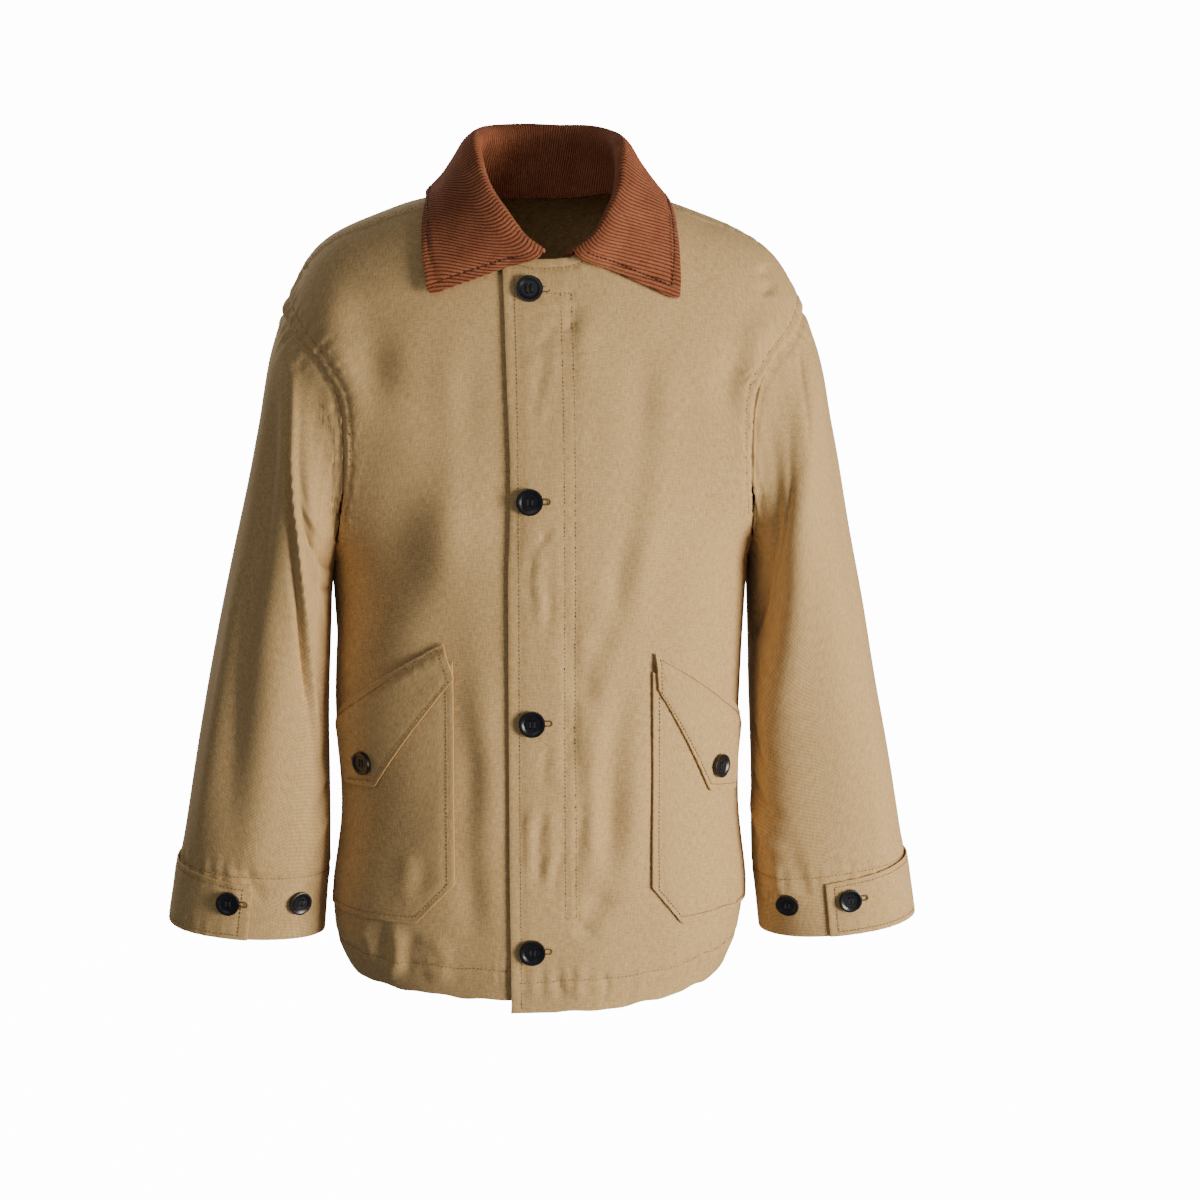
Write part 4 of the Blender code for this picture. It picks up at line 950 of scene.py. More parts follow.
armholes = {side: armhole_loop(side) for side in (1, -1)}
for side, name in ((1, "left"), (-1, "right")):
    loop = armholes[side]
    points = sleeve_surface(side, loop, *spread(*SLEEVE_GRID))
    turns = np.linspace(0, 1, 220)
    hem_line = trace(lambda a, h: cuff_point(side, loop, a, h, 0.0), turns * 360, CUFF_SEWING, THREAD_LIFT,
                     -side)
    cap = (sleeve_surface(side, loop, turns, 0.004), None)
    normals = grid_normals(points, closed=True) * side
    pull = seam_pull(points, [hem_line], 51 + side)
    pull = pull + seam_pull(points, [cap], 61 + side, height=0.0014, reach=0.007, sink=SEAM_SINK)
    pull[:, -1] = pull[:, 0]
    points = with_allowance(points + normals * pull[..., None], normals, ALLOWANCE)
    piece = cloth_sheet("twill_sleeve_" + name, points, TWILL_WALL, closed=True)
    piece.data.materials.append(twill)
    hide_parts("sleeve_" + name)
    sewing("sewing_sleeve_" + name, [hem_line], thread)

# ------------------------------------------------------------------------------
# Patch pockets and their flaps
# Two large patch pockets of twill, topstitched round their edges, with the lower inner corner cut off. Each
# has a slanting flap sewn on above it, whose long free edge runs diagonally, with one button.
# ------------------------------------------------------------------------------
POCKET_WALL = 0.0015
POCKET_LIFT = 0.0028
FLAP_SEAM_LIFT = 0.003
FLAP_LIFT = 0.0057
POCKET_INNER_X = 0.085
POCKET_OUTER_ANGLE = 79.0
POCKET_UNDER_FLAP = 0.016
# corner of the lower edge, share across, height
POCKET = {
    1: (("inner_corner", 0.0, -0.586), ("lower_corner", 0.19, -0.623), ("outer_corner", 1.0, -0.626)),
    -1: (("inner_corner", 0.0, -0.577), ("lower_corner", 0.23, -0.615), ("outer_corner", 1.0, -0.617)),
}
# corner, angle round the body in degrees, height
FLAP = {
    1: (("top_inner", 26.4, -0.3765), ("top_outer", 73.5, -0.449), ("low_inner", 27.5, -0.4084),
        ("low_turn", 49.5, -0.5086), ("low_outer", 68.5, -0.5165)),
    -1: (("top_inner", 28.4, -0.3632), ("top_outer", 76.5, -0.441), ("low_inner", 25.4, -0.3938),
         ("low_turn", 54.0, -0.4976), ("low_outer", 71.5, -0.502)),
}
FLAP_TURN_SHARE = 0.66
POCKET_SEWING = 0.006
FLAP_SEWING = 0.0065
POCKET_GRID = (40, 76)
FLAP_GRID = (40, 36)


def height_point(side, angle, height, lift):
    """Points on a front at an angle round the body and a height."""
    rise = (height - UNDERARM_Z) / (UNDERARM_Z - hem_height(-1, side * angle))
    return front_surface(side, side * angle, rise, lift)


def pocket_place(side):
    """Function from shares to points of a patch pocket, from its inner edge to its outer one."""
    flap = FLAP[side]
    corners = POCKET[side]

    def place(across, along):
        foot = np.interp(across, [row[1] for row in corners], [row[2] for row in corners])
        head = flap[0][2] + (flap[1][2] - flap[0][2]) * across - POCKET_UNDER_FLAP
        height = foot + (head - foot) * along
        inner = angle_at(POCKET_INNER_X, table_value(TORSO, height, 2))
        angle = inner + (math.radians(POCKET_OUTER_ANGLE) - inner) * across
        return height_point(side, angle, height, POCKET_LIFT)

    return place


def flap_place(side):
    """Function from shares to points of a pocket flap, along 1 at its top seam, 0 at its free edge."""
    top_inner, top_outer, low_inner, low_turn, low_outer = FLAP[side]

    def corner(first, second, share, column):
        return first[column] + (second[column] - first[column]) * share

    def place(across, along):
        near = across / FLAP_TURN_SHARE
        far = (across - FLAP_TURN_SHARE) / (1 - FLAP_TURN_SHARE)
        turned = across >= FLAP_TURN_SHARE
        foot_angle, foot = [np.where(turned, corner(low_turn, low_outer, far, column),
                                     corner(low_inner, low_turn, near, column)) for column in (1, 2)]
        down = 1 - along
        head_angle = corner(top_inner, top_outer, across, 1)
        head = corner(top_inner, top_outer, across, 2)
        angle = np.radians(head_angle + (foot_angle - head_angle) * down)
        height = head + (foot - head) * down
        lift = FLAP_SEAM_LIFT + (FLAP_LIFT - FLAP_SEAM_LIFT) * smooth_step((head - height) / 0.012)
        return height_point(side, angle, height, lift)

    return place


def inset_line(place, corners, inset, lift, side):
    """A sewn line through corners given as shares, each side of a piece moved in by inset metres."""
    width = np.linalg.norm(place(np.array(1.0), np.array(0.5)) - place(np.array(0.0), np.array(0.5)))
    height = np.linalg.norm(place(np.array(0.5), np.array(1.0)) - place(np.array(0.5), np.array(0.0)))
    across = []
    along = []
    for (a, b), (c, d) in zip(corners, corners[1:]):
        share = np.linspace(0, 1, 60, endpoint=False)
        across.append(a + (c - a) * share)
        along.append(b + (d - b) * share)
    across = np.concatenate(across)
    along = np.concatenate(along)
    across = inset / width + across * (1 - 2 * inset / width)
    along = inset / height + along * (1 - 2 * inset / height)
    return trace(place, across, along, lift, side)


for side, name in ((1, "left"), (-1, "right")):
    place = pocket_place(side)
    corner = POCKET[side][1][1]
    points = place(*spread(*POCKET_GRID))
    lines = [inset_line(place, ((1, 0.10), (1, 0), (corner, 0), (0, 0), (0, 1)), POCKET_SEWING,
                        POCKET_WALL / 2, side)]
    normals = grid_normals(points) * side
    points = points + normals * seam_pull(points, lines, 71 + side, height=0.0005)[..., None]
    piece = cloth_sheet("twill_pocket_" + name, points, POCKET_WALL)
    piece.data.materials.append(twill)
    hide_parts("pocket_" + name)
    sewing("sewing_pocket_" + name, lines, thread)

    place = flap_place(side)
    points = place(*spread(*FLAP_GRID))
    lines = [
        inset_line(place, ((0, 1), (1, 1)), FLAP_SEWING, POCKET_WALL / 2, side),
        inset_line(place, ((0, 1), (0, 0), (FLAP_TURN_SHARE, 0), (1, 0)), FLAP_SEWING * 0.8, POCKET_WALL / 2,
                   side),
    ]
    normals = grid_normals(points) * side
    points = points + normals * seam_pull(points, lines, 81 + side, height=0.00045)[..., None]
    piece = cloth_sheet("twill_flap_" + name, points, POCKET_WALL)
    piece.data.materials.append(twill)
    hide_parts("pocket_flap_" + name)
    sewing("sewing_flap_" + name, lines, thread)

# ------------------------------------------------------------------------------
# Cuff tabs
# A flat doubled tab of twill goes round the outer side of each cuff and is topstitched along its edges. It
# buttons at the front.
# ------------------------------------------------------------------------------
TAB_LIFT = 0.0027
TAB_FRONT_ANGLES = {1: 101.0, -1: 89.0}
TAB_BACK_ANGLE = -48.0
TAB_FRONT_HEIGHT = 0.052
TAB_BACK_HEIGHT = 0.063
TAB_SEWING = 0.005
TAB_GRID = (56, 22)


def tab_place(side, loop):
    """Function from shares to points of a cuff tab, along 1 at its upper edge."""

    def place(across, along):
        angle = TAB_BACK_ANGLE + (TAB_FRONT_ANGLES[side] - TAB_BACK_ANGLE) * across
        height = TAB_BACK_HEIGHT + (TAB_FRONT_HEIGHT - TAB_BACK_HEIGHT) * across
        return cuff_point(side, loop, angle, height * along, TAB_LIFT)

    return place


for side, name in ((1, "left"), (-1, "right")):
    place = tab_place(side, armholes[side])
    points = place(*spread(*TAB_GRID))
    lines = [inset_line(place, ((0, 0), (1, 0), (1, 1), (0, 1)), TAB_SEWING, POCKET_WALL / 2, -side)]
    normals = grid_normals(points) * -side
    points = points + normals * seam_pull(points, lines, 91 + side, height=0.0004)[..., None]
    piece = cloth_sheet("twill_tab_" + name, points, POCKET_WALL)
    piece.data.materials.append(twill)
    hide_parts("cuff_tab_" + name)
    sewing("sewing_tab_" + name, lines, thread)

# ------------------------------------------------------------------------------
# Collar
# A rolled collar with two pointed leaves, of rust corduroy with wales about 3 mm wide. It is sewn into the
# neckline, stands up, rolls over and falls, with one row of sewing 8 mm inside its edges.
# ------------------------------------------------------------------------------
COLLAR_WALL = 0.0022
# name, number, place on the neckline (1 is the high point, 2 the nape), roll x, y, z, edge x, y, z
COLLAR = (
    ("end", 0.0, 0.15, 0.013, -0.097, -0.0335, 0.106, -0.098, -0.0765),
    ("front", 1.0, 0.38, 0.03, -0.091, -0.0215, 0.1085, -0.091, -0.054),
    ("front_roll", 2.0, 0.62, 0.045, -0.0785, -0.0015, 0.1095, -0.076, -0.03),
    ("front_side", 3.0, 0.84, 0.057, -0.06, 0.019, 0.1085, -0.057, -0.008),
    ("side_front", 4.0, 1.01, 0.063, -0.035, 0.043, 0.105, -0.03, 0.005),
    ("side", 5.0, 1.1, 0.064, -0.008, 0.058, 0.101, 0.008, 0.0085),
    ("back_side", 6.0, 1.26, 0.058, 0.022, 0.063, 0.094, 0.048, 0.001),
    ("back", 7.0, 1.56, 0.041, 0.048, 0.064, 0.07, 0.083, -0.009),
    ("nape", 8.0, 2.0, 0.0, 0.059, 0.064, 0.0, 0.096, -0.012),
    ("beyond", 9.0, 2.44, -0.041, 0.048, 0.064, -0.07, 0.083, -0.009),
)
COLLAR_EDGE_SHIFT = 0.004
COLLAR_ROLL_SHIFT = 0.0075
RIGHT_TIP_RAISE = 0.0065
COLLAR_SEAM_GAP = 0.0048
NECK_MIDDLE = (0.0, -0.012, 0.004)
COLLAR_CLEARANCE = 0.0064
ROLL_HALF = 0.0042
ROLL_SHARE = 0.34
ROLL_DROP = 0.7
RIDGE_HALF = 0.06
COLLAR_SEWN_SHARE = 0.962
WALE_PITCH = 0.0033
WALE_HEIGHT = 0.00034
WALE_SLANT = {1: 0.008, -1: 0.034}
TIP_RADIUS_ACROSS = 0.016
TIP_RADIUS_ALONG = 0.032
COLLAR_COLUMNS = 701
COLLAR_ROWS = 60
COLLAR_GROOVE = 0.0009


def dome_depth(face, x, height):
    """Distance of the torso form from the shoulder line's plane, above the underarm."""
    power = dome_power(face)
    share = np.clip((height - UNDERARM_Z) / (table_value(SHOULDER, np.abs(x), 2) - UNDERARM_Z), 0, 1)
    across = np.minimum(1.0, np.abs(x) / table_value(YOKE, share, 2))
    profile = (1 - across ** SIDE_POWER) ** (1 / SIDE_POWER)
    return np.where(face < 0, TORSO[-1][3], TORSO[-1][4]) * profile * (1 - share ** power) ** (1 / power)


def dome_height(face, x, depth):
    """Height of the torso form at a distance from the shoulder line's plane."""
    power = dome_power(face)
    profile = (1 - np.minimum(1.0, np.abs(x) / YOKE[-1][2]) ** SIDE_POWER) ** (1 / SIDE_POWER)
    reach = np.minimum(1.0, depth / (np.where(face < 0, TORSO[-1][3], TORSO[-1][4]) * profile))
    share = (1 - reach ** power) ** (1 / power)
    return UNDERARM_Z + share * (table_value(SHOULDER, np.abs(x), 2) - UNDERARM_Z)


def roll_point(side, station):
    """Points on the collar's fold line."""
    x, y, z = [table_value(COLLAR, station, column) for column in range(3, 6)]
    return np.stack([side * x + COLLAR_ROLL_SHIFT, y, z], -1)


def collar_place(across, along):
    """Points of the collar: along 0 is the neckline, the middle the roll, 1 the outer edge."""
    across, along = np.broadcast_arrays(np.asarray(across, float), np.asarray(along, float))
    side = np.where(across > 0.5, 1.0, -1.0)
    station = (1 - np.abs(2 * across - 1)) * COLLAR[-2][1]
    place = table_value(COLLAR, station, 2)
    edge_x, edge_y, edge_z = [table_value(COLLAR, station, column) for column in range(6, 9)]
    face = np.where(place <= 1, -1, 1)
    share = np.where(place <= 1, place, 2 - place)
    neck_x = side * NECK_HALF * share + np.where(face < 0, COLLAR_EDGE_SHIFT * (1 - share), 0.0)
    neck_angle = angle_at(neck_x, YOKE[-1][2])
    rise = np.where(face < 0, neck_rise(-1, neck_angle), neck_rise(1, neck_angle))
    seam = torso_point(face, neck_angle, rise)
    neck = seam + unit(np.array(NECK_MIDDLE) - seam) * COLLAR_SEAM_GAP
    roll = roll_point(side, station)
    raised = np.where(side < 0, RIGHT_TIP_RAISE * smooth_step(1 - station / 2), 0.0)
    edge = np.stack([side * edge_x + COLLAR_EDGE_SHIFT, edge_y, edge_z + raised], -1)
    half = np.minimum(ROLL_HALF, ROLL_SHARE * np.linalg.norm(roll - neck, axis=-1))
    ahead = roll_point(side, station + 0.05) - roll_point(side, station - 0.05)
    out = unit(np.stack([ahead[..., 1], -ahead[..., 0], np.zeros_like(half)], -1)) * (half * side)[..., None]
    drop = np.stack([np.zeros_like(half), np.zeros_like(half), half * ROLL_DROP], -1)
    inner = roll - out - drop
    outer = roll + out - drop
    fall = []
    for point in (outer + (edge - outer) * 0.33, outer + (edge - outer) * 0.66, edge):
        x, y, z = point[..., 0], point[..., 1], point[..., 2]
        clear = COLLAR_CLEARANCE + lap_lift(np.abs(x))
        body_side = np.where(y < 0, -1, 1)
        ridge = np.abs(y) < RIDGE_HALF
        z = np.where(ridge, np.maximum(z, dome_height(body_side, x, np.abs(y)) + COLLAR_CLEARANCE), z)
        front = np.minimum(y, -dome_depth(-1, x, z) - clear)
        back = np.maximum(y, dome_depth(1, x, z) + COLLAR_CLEARANCE)
        y = np.where(ridge, y, np.where(y < 0, front, back))
        fall.append(np.stack([x, y, z], -1))
    return curve_point(np.stack([neck, (neck + inner) / 2, inner, roll, outer] + fall), along)


def wale_place(points):
    """Distance across the wales over the collar's grid, from the nape, slanting near the front points."""
    rows, columns = points.shape[:2]
    middle = columns // 2
    share = np.linspace(0, 1, rows)[:, None]
    line = points[int(rows * 0.75)]
    far = lengths_along(line)
    far = np.abs(far - far[middle])[None, :]
    lean = np.where(np.arange(columns) > middle, WALE_SLANT[1], WALE_SLANT[-1])
    slant = smooth_step((far - 0.055) / 0.11) * lean
    return far - slant * (1 - smooth_step((share - 0.42) / 0.58)) + 0.0006 * np.sin(far * 90 + share * 5)


def rounded_tips(across, along):
    """Shares across and along with the two outer corners of the collar rounded."""
    inward = np.minimum(across, 1 - across)
    a = np.clip(1 - inward / TIP_RADIUS_ACROSS, 0, 1)
    b = np.clip(1 - (1 - along) / TIP_RADIUS_ALONG, 0, 1)
    moved = np.where(a > 0, TIP_RADIUS_ACROSS * (1 - a * np.sqrt(1 - b * b / 2)), inward)
    return (np.where(across > 0.5, 1 - moved, moved),
            np.where(b > 0, 1 - TIP_RADIUS_ALONG * (1 - b * np.sqrt(1 - a * a / 2)), along))


probe = collar_place(0.14, np.linspace(0, 1, 400))
far = lengths_along(probe)
fall_shares = np.interp(np.linspace(0, 1, COLLAR_ROWS), far / far[-1], np.linspace(0, 1, 400))
points = collar_place(*rounded_tips(*np.meshgrid(np.linspace(0, 1, COLLAR_COLUMNS), fall_shares)))
wales = wale_place(points)
ribbed = np.abs(np.sin(wales / WALE_PITCH * math.pi)) ** 0.8 - 0.6
sewn = np.exp(-((fall_shares - COLLAR_SEWN_SHARE) / 0.008) ** 2)[:, None]
ends = np.abs(np.linspace(-1, 1, COLLAR_COLUMNS))[None, :]
end_sewn = np.exp(-((ends - 0.95) / 0.006) ** 2) * (fall_shares[:, None] > 0.58)
sewn = np.maximum(sewn * (ends < 0.955), end_sewn)
height = WALE_HEIGHT * ribbed * (1 - 0.7 * sewn) - COLLAR_GROOVE * sewn
height = height + drape(points, 14) * 1.4
points = points + grid_normals(points) * height[..., None]
piece = cloth_sheet("corduroy_collar", points, COLLAR_WALL, across=wales)

# Cotton corduroy, piece dyed rust: cut pile in rounded wales with bare ground between them, the ridges soft.
# Its colour is painted nearly black brown in the grooves, painted shade on top of the bare ground's own
# darker colour, and lighter on the wale tops, a painted highlight. The pile shows as short flecks.
corduroy, tree, shader = new_material("cotton_corduroy", 0.95, Sheen_Weight=0.24, Sheen_Roughness=0.40,
                                      Sheen_Tint=linear("#D7A588"), Specular_IOR_Level=0.1)
wale_uv = add_node(tree, "ShaderNodeUVMap", uv_map="weave")
split = add_node(tree, "ShaderNodeSeparateXYZ", {"Vector": (wale_uv, "UV")})
coords = add_node(tree, "ShaderNodeTexCoord")
wobble = add_node(tree, "ShaderNodeTexNoise", {"Vector": (coords, "Object"), "Scale": 150.0, "Detail": 2.0})
turns = add_node(tree, "ShaderNodeMath", {0: (split, "X"), 1: math.pi / WALE_PITCH, 2: -0.2},
                 operation="MULTIPLY_ADD")
turns = add_node(tree, "ShaderNodeMath", {0: (wobble, "Fac"), 1: 0.4, 2: (turns, "Value")},
                 operation="MULTIPLY_ADD")
wave = add_node(tree, "ShaderNodeMath", {0: (turns, "Value")}, operation="SINE")
ridge = add_node(tree, "ShaderNodeMath", {0: (wave, "Value")}, operation="ABSOLUTE")
ridge = add_node(tree, "ShaderNodeMath", {0: (ridge, "Value"), 1: 0.7}, operation="POWER")
pile = add_node(tree, "ShaderNodeTexNoise", {"Vector": (coords, "Object"), "Scale": 560.0, "Detail": 4.0,
                                             "Roughness": 0.75})
brushed = add_node(tree, "ShaderNodeTexNoise", {"Vector": (coords, "Object"), "Scale": 45.0, "Detail": 4.0})
tone = add_node(tree, "ShaderNodeMath", {0: (pile, "Fac"), 1: 0.8, 2: (ridge, "Value")},
                operation="MULTIPLY_ADD")
tone = add_node(tree, "ShaderNodeMath", {0: (brushed, "Fac"), 1: 0.5, 2: (tone, "Value")},
                operation="MULTIPLY_ADD")
tone = add_node(tree, "ShaderNodeMath", {0: (tone, "Value"), 1: 0.43}, operation="MULTIPLY")
# The ramp's dark stop paints shade into the grooves and its light stop paints a highlight on the wale tops.
colour = add_node(tree, "ShaderNodeValToRGB", {"Fac": (tone, "Value")})
ramp_stops(colour, ((0.34, linear("#432216")), (0.52, linear("#7F462F")), (0.66, linear("#9B5E42")),
                    (0.80, linear("#B67A5A"))))
tree.links.new(colour.outputs["Color"], shader.inputs["Base Color"])
bump = add_node(tree, "ShaderNodeBump", {"Height": (ridge, "Value"), "Strength": 0.55, "Distance": 0.0006})
bump = add_node(tree, "ShaderNodeBump", {"Height": (pile, "Fac"), "Strength": 0.7, "Distance": 0.0006,
                                         "Normal": (bump, "Normal")})
tree.links.new(bump.outputs["Normal"], shader.inputs["Normal"])
piece.data.materials.append(corduroy)
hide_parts("collar")

# The collar's sewing is a darker rust thread that presses a line into the wales.
rust_thread = thread_material("rust_thread", 0.6, 0.1, 900.0, "#2B120A", "#4A2214")
low_end = np.linspace(0.60, COLLAR_SEWN_SHARE, 40)
along_edge = np.linspace(0.025, 0.975, 500)
lines = [trace(collar_place, across, along, COLLAR_WALL / 2 - 0.0003)
         for across, along in ((0.025, low_end), (along_edge, COLLAR_SEWN_SHARE), (0.975, low_end))]
sewing("sewing_collar", lines, rust_thread, length=0.0030, thickness=0.0013, gap=0.0009)

# ------------------------------------------------------------------------------
# Buttons and buttonholes
# Ten moulded resin buttons, nearly black blue, with a raised rim, a sunken middle and four holes, each sewn
# on with two bars of dark thread. Every button on a lap, flap or tab passes through a sewn buttonhole
# beside it.
# ------------------------------------------------------------------------------
BUTTON_HEIGHT = 0.0034
BUTTON_GAP = 0.0006
FRONT_BUTTON_RADIUS = 0.0113
SMALL_BUTTON_RADIUS = 0.0104
# name, distance from the middle, height
FRONT_BUTTONS = (
    ("top", -0.0172, -0.0665),
    ("second", -0.0203, -0.2405),
    ("third", -0.0193, -0.433),
    ("foot", -0.0205, -0.6365),
)
FLAP_BUTTON_SHARE = (0.71, 0.27)
TAB_BUTTON_ANGLES = {1: 86.0, -1: 74.0}
SPARE_BUTTON_ANGLES = {1: 131.0, -1: 125.0}
CUFF_BUTTON_HEIGHT = 0.034
BUTTONHOLE_LENGTH = 0.0235
# share of the radius set in, share of the height raised
BUTTON_STEPS = ((0.10, 0.06), (0.13, -0.10), (0.14, -0.26))
BUTTON_HOLE_ACROSS = 0.17
BUTTON_HOLE_ALONG = 0.24

# Moulded polyester resin, tumbled to a low polish: nearly black, with a faint cloudy swirl and soft
# highlights.
resin, tree, shader = new_material("button_resin", 0.30, Specular_IOR_Level=0.4, IOR=1.55, Coat_Weight=0.15,
                                   Coat_Roughness=0.25)
coords = add_node(tree, "ShaderNodeTexCoord")
cloud = add_node(tree, "ShaderNodeTexNoise", {"Vector": (coords, "Object"), "Scale": 160.0, "Detail": 4.0,
                                              "Distortion": 1.5})
colour = add_node(tree, "ShaderNodeValToRGB", {"Fac": (cloud, "Fac")})
ramp_stops(colour, ((0.35, linear("#08080D")), (0.70, linear("#161820"))))
tree.links.new(colour.outputs["Color"], shader.inputs["Base Color"])
scuff = add_node(tree, "ShaderNodeTexNoise", {"Vector": (coords, "Object"), "Scale": 700.0, "Detail": 3.0})
rough = add_node(tree, "ShaderNodeMapRange", {"Value": (scuff, "Fac"), "To Min": 0.24, "To Max": 0.38})
tree.links.new(rough.outputs["Result"], shader.inputs["Roughness"])
bump = add_node(tree, "ShaderNodeBump", {"Height": (scuff, "Fac"), "Strength": 0.12, "Distance": 0.0002})
tree.links.new(bump.outputs["Normal"], shader.inputs["Normal"])

# Button thread, dark blue polyester, matt.
dark_thread = thread_material("dark_thread", 0.75, 0.15, 1500.0, "#0D0E14", "#262834")

# Buttonhole twist, thick matt thread a little browner than the twill.
twist = thread_material("buttonhole_twist", 0.8, 0.1, 1300.0, "#54401F", "#8A6D40")


def moulded_button(name, radius):
    """A button round the origin: a disc inset for its rim and sunk in the middle, drilled and rounded."""
    bpy.ops.mesh.primitive_cylinder_add(vertices=56, radius=radius, depth=BUTTON_HEIGHT,
                                        location=(0, 0, BUTTON_HEIGHT / 2))
    disc = bpy.context.object
    disc.name = name
    bpy.ops.object.transform_apply(location=True, rotation=True, scale=True)
    bpy.ops.object.mode_set(mode="EDIT")
    bpy.ops.mesh.select_all(action="DESELECT")
    bpy.ops.object.mode_set(mode="OBJECT")
    for face in disc.data.polygons:
        face.select = face.normal.z > 0.9
    bpy.ops.object.mode_set(mode="EDIT")
    bpy.ops.mesh.select_mode(type="FACE")
    for inset, rise in BUTTON_STEPS:
        bpy.ops.mesh.inset(thickness=radius * inset)
        bpy.ops.transform.translate(value=(0, 0, BUTTON_HEIGHT * rise))
    bpy.ops.mesh.inset(thickness=radius * 0.08)
    bpy.ops.mesh.select_all(action="DESELECT")
    bpy.ops.object.mode_set(mode="OBJECT")
    for face in disc.data.polygons:
        face.select = face.normal.z < -0.9
    bpy.ops.object.mode_set(mode="EDIT")
    bpy.ops.mesh.inset(thickness=radius * 0.02)
    bpy.ops.transform.resize(value=(0.86, 0.86, 1.0))
    bpy.ops.object.mode_set(mode="OBJECT")
    drills = []
    for x in (-1, 1):
        for y in (-1, 1):
            bpy.ops.mesh.primitive_cylinder_add(vertices=16, radius=radius * 0.105, depth=BUTTON_HEIGHT * 3,
                                                location=(x * radius * BUTTON_HOLE_ACROSS,
                                                          y * radius * BUTTON_HOLE_ALONG, 0))
            drills.append(bpy.context.object)
    for drill in drills:
        apply_modifier(disc, "BOOLEAN", object=drill, operation="DIFFERENCE", solver="EXACT")
        bpy.data.objects.remove(drill, do_unlink=True)
    apply_modifier(disc, "BEVEL", width=radius * 0.035, segments=3, limit_method="ANGLE",
                   angle_limit=math.radians(28))
    disc.data.shade_smooth()
    disc.data.materials.clear()
    disc.data.materials.append(resin)
    return disc


def thread_bars(name, radius):
    """Two bars of button thread, each several turns from an upper to a lower hole."""
    bars = []
    for x in (-1, 1):
        for turn in (-1, 0, 1):
            spot = (x * radius * BUTTON_HOLE_ACROSS + turn * radius * 0.045, 0,
                    BUTTON_HEIGHT * (0.74 + 0.03 * (turn == 0)))
            bpy.ops.mesh.primitive_cylinder_add(vertices=8, radius=radius * 0.030, depth=radius * 0.48,
                                                rotation=(math.pi / 2, 0, 0), location=spot)
            bars.append(bpy.context.object)
    bpy.ops.object.select_all(action="DESELECT")
    for bar in bars:
        bar.select_set(True)
    bpy.context.view_layer.objects.active = bars[0]
    bpy.ops.object.transform_apply(location=True, rotation=True, scale=True)
    bpy.ops.object.join()
    bars[0].name = name
    bars[0].data.shade_smooth()
    bars[0].data.materials.append(dark_thread)
    return bars[0]


def place_copy(master, name, spot, frame_axes, node=None):
    """A copy of a master with its own mesh, moved into place in its mesh."""
    mesh = master.data.copy()
    turn = Matrix([list(axis) for axis in frame_axes]).transposed().to_4x4()
    mesh.transform(Matrix.Translation(Vector(spot)) @ turn)
    copy = new_object(name, mesh)
    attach(copy, "root")
    if node:
        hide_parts(node)
    return copy


def buttonhole(name):
    """A buttonhole round the origin, along X: a long flat ring of close stitches."""
    bpy.ops.mesh.primitive_torus_add(major_radius=0.0022, minor_radius=0.00075, major_segments=72,
                                     minor_segments=8)
    ring = bpy.context.object
    ring.name = name
    for vert in ring.data.vertices:
        if abs(vert.co.x) > 0.0001:
            vert.co.x += math.copysign(BUTTONHOLE_LENGTH / 2 - 0.0030, vert.co.x)
        vert.co.z *= 0.55
    ring.data.shade_smooth()
    ring.data.materials.append(twist)
    return ring


button_masters = {"large": moulded_button("large_master", FRONT_BUTTON_RADIUS),
                  "small": moulded_button("small_master", SMALL_BUTTON_RADIUS)}
bar_masters = {"large": thread_bars("large_bars", FRONT_BUTTON_RADIUS),
               "small": thread_bars("small_bars", SMALL_BUTTON_RADIUS)}
hole_master = buttonhole("hole_master")


def sew_button(label, size, spot, normal, sideways, hole_shift=None):
    """A button on the cloth at a spot, with its thread, and its buttonhole moved sideways if it has one."""
    spot = np.asarray(spot)
    normal = unit(np.asarray(normal))
    sideways = unit(sideways - normal * (sideways @ normal))
    upward = np.cross(normal, sideways)
    axes = (sideways, upward, normal)
    place_copy(button_masters[size], "resin_" + label, spot + normal * BUTTON_GAP, axes,
               "button_" + label)
    place_copy(bar_masters[size], "thread_" + label, spot + normal * BUTTON_GAP, axes)
    if hole_shift is not None:
        place_copy(hole_master, "buttonhole_" + label, spot + sideways * hole_shift + normal * 0.0001, axes)


for number, (_, x, height) in enumerate(FRONT_BUTTONS, 1):
    spot, normal = body_line(lambda a, r: front_surface(1, a, r), x, height, TWILL_WALL / 2)
    sew_button("front_" + str(number), "large", spot, normal, np.array((1.0, 0.0, 0.0)), 0.0062)
for side, name in ((1, "left"), (-1, "right")):
    loop = armholes[side]
    spot, normal = trace(flap_place(side), *FLAP_BUTTON_SHARE, POCKET_WALL / 2, side)
    sew_button("flap_" + name, "small", spot, normal, np.array((1.0, 0.0, 0.0)), side * 0.0040)
    for label, angle, lift in (("tab", TAB_BUTTON_ANGLES[side], TAB_LIFT),
                               ("spare", SPARE_BUTTON_ANGLES[side], 0)):
        spot, normal = trace(lambda a, h: cuff_point(side, loop, a, h, 0.0), angle, CUFF_BUTTON_HEIGHT,
                             lift + TWILL_WALL / 2, -side)
        ahead = cuff_point(side, loop, angle + 2, CUFF_BUTTON_HEIGHT, 0.0)
        sideways = (cuff_point(side, loop, angle - 2, CUFF_BUTTON_HEIGHT, 0.0) - ahead) * side
        sew_button(label + "_" + name, "small", spot, normal, sideways, 0.0058 if label == "tab" else None)
for master in (*button_masters.values(), *bar_masters.values(), hole_master):
    bpy.data.objects.remove(master, do_unlink=True)

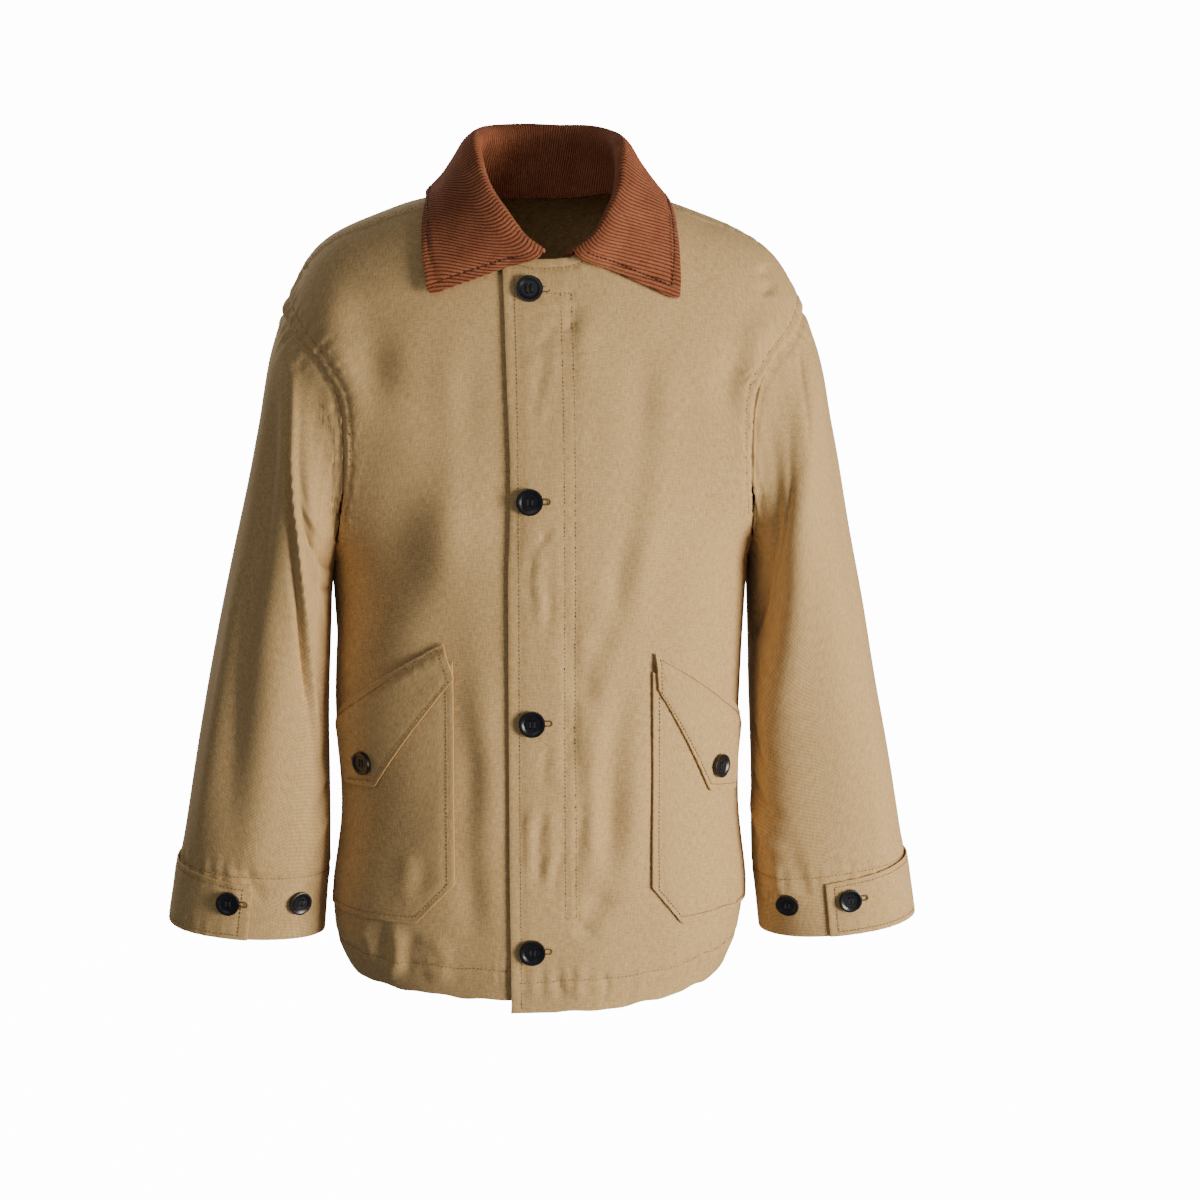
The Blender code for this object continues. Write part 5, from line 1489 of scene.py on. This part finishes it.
# ------------------------------------------------------------------------------
# Floor, light and camera
# A pale seamless floor with an upright rim that only the camera sees, so that it casts no light on the
# cloth, one strong soft light from the wearer's left, a fill in front and one behind, and the photograph's
# view.
# ------------------------------------------------------------------------------
bpy.ops.mesh.primitive_circle_add(vertices=96, radius=9.0, fill_type="NGON", location=(0, 0, -1.35))
floor = bpy.context.object
floor.name = "studio_floor"
bpy.ops.object.transform_apply(location=True, rotation=True, scale=True)
bpy.ops.object.mode_set(mode="EDIT")
bpy.ops.mesh.select_all(action="SELECT")
bpy.ops.mesh.inset(thickness=0.02)
bpy.ops.mesh.select_mode(type="EDGE")
bpy.ops.mesh.select_all(action="DESELECT")
bpy.ops.object.mode_set(mode="OBJECT")
for edge in floor.data.edges:
    edge.select = all(floor.data.vertices[i].co.xy.length > 8.99 for i in edge.vertices)
bpy.ops.object.mode_set(mode="EDIT")
bpy.ops.mesh.extrude_edges_move(TRANSFORM_OT_translate={"value": (0, 0, 7.0)})
bpy.ops.object.mode_set(mode="OBJECT")
paper, tree, shader = new_material("seamless_paper", 0.9, Emission_Strength=14.0)
shader.inputs["Base Color"].default_value = linear("#E9E9E7")
shader.inputs["Emission Color"].default_value = linear("#FFFFFF")
floor.data.materials.append(paper)
floor.visible_diffuse = False
floor.visible_glossy = False
floor.visible_transmission = False
floor.visible_shadow = False
floor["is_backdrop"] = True


def soft_light(name, spot, target, size, power, colour):
    """A square soft light aimed at a spot."""
    lamp = bpy.data.lights.new(name, "AREA")
    lamp.shape = "RECTANGLE"
    lamp.size, lamp.size_y = size
    lamp.energy = power
    lamp.color = linear(colour)[:3]
    light = new_object(name, lamp)
    light.location = spot
    light.rotation_mode = "QUATERNION"
    light.rotation_quaternion = (Vector(target) - Vector(spot)).to_track_quat("-Z", "Y")


soft_light("window", (2.36, -1.86, -0.46), (0.0, 0.0, -0.40), (1.2, 1.3), 134.0, "#FFF6EA")
soft_light("front_fill", (-0.9, -2.3, 1.2), (0.0, 0.0, -0.3), (1.8, 1.8), 8.0, "#FFFFFF")
soft_light("back_fill", (-1.2, 2.2, 0.8), (0.0, 0.0, -0.33), (1.6, 1.6), 34.0, "#FFFFFF")
world = bpy.data.worlds.new("studio")
bpy.context.scene.world = world
world.use_nodes = True
world.node_tree.nodes["Background"].inputs["Color"].default_value = linear("#F4F6FA")
world.node_tree.nodes["Background"].inputs["Strength"].default_value = 0.15

CAMERA_SPOT = (-0.204816, -2.341058, 0.13)
CAMERA_YAW = 0.109978
CAMERA_PITCH = 0.202458
CAMERA_LENS = 80.165
forward = Vector((math.sin(CAMERA_YAW) * math.cos(CAMERA_PITCH),
                  math.cos(CAMERA_YAW) * math.cos(CAMERA_PITCH), -math.sin(CAMERA_PITCH)))
rightward = Vector((math.cos(CAMERA_YAW), -math.sin(CAMERA_YAW), 0.0))
upward = rightward.cross(forward)
lens = bpy.data.cameras.new("camera")
lens.lens = CAMERA_LENS
lens.sensor_width = 36.0
camera = new_object("camera", lens)
camera.matrix_world = Matrix((rightward, upward, -forward)).transposed().to_4x4()
camera.location = CAMERA_SPOT
bpy.context.scene.camera = camera

low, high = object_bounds()
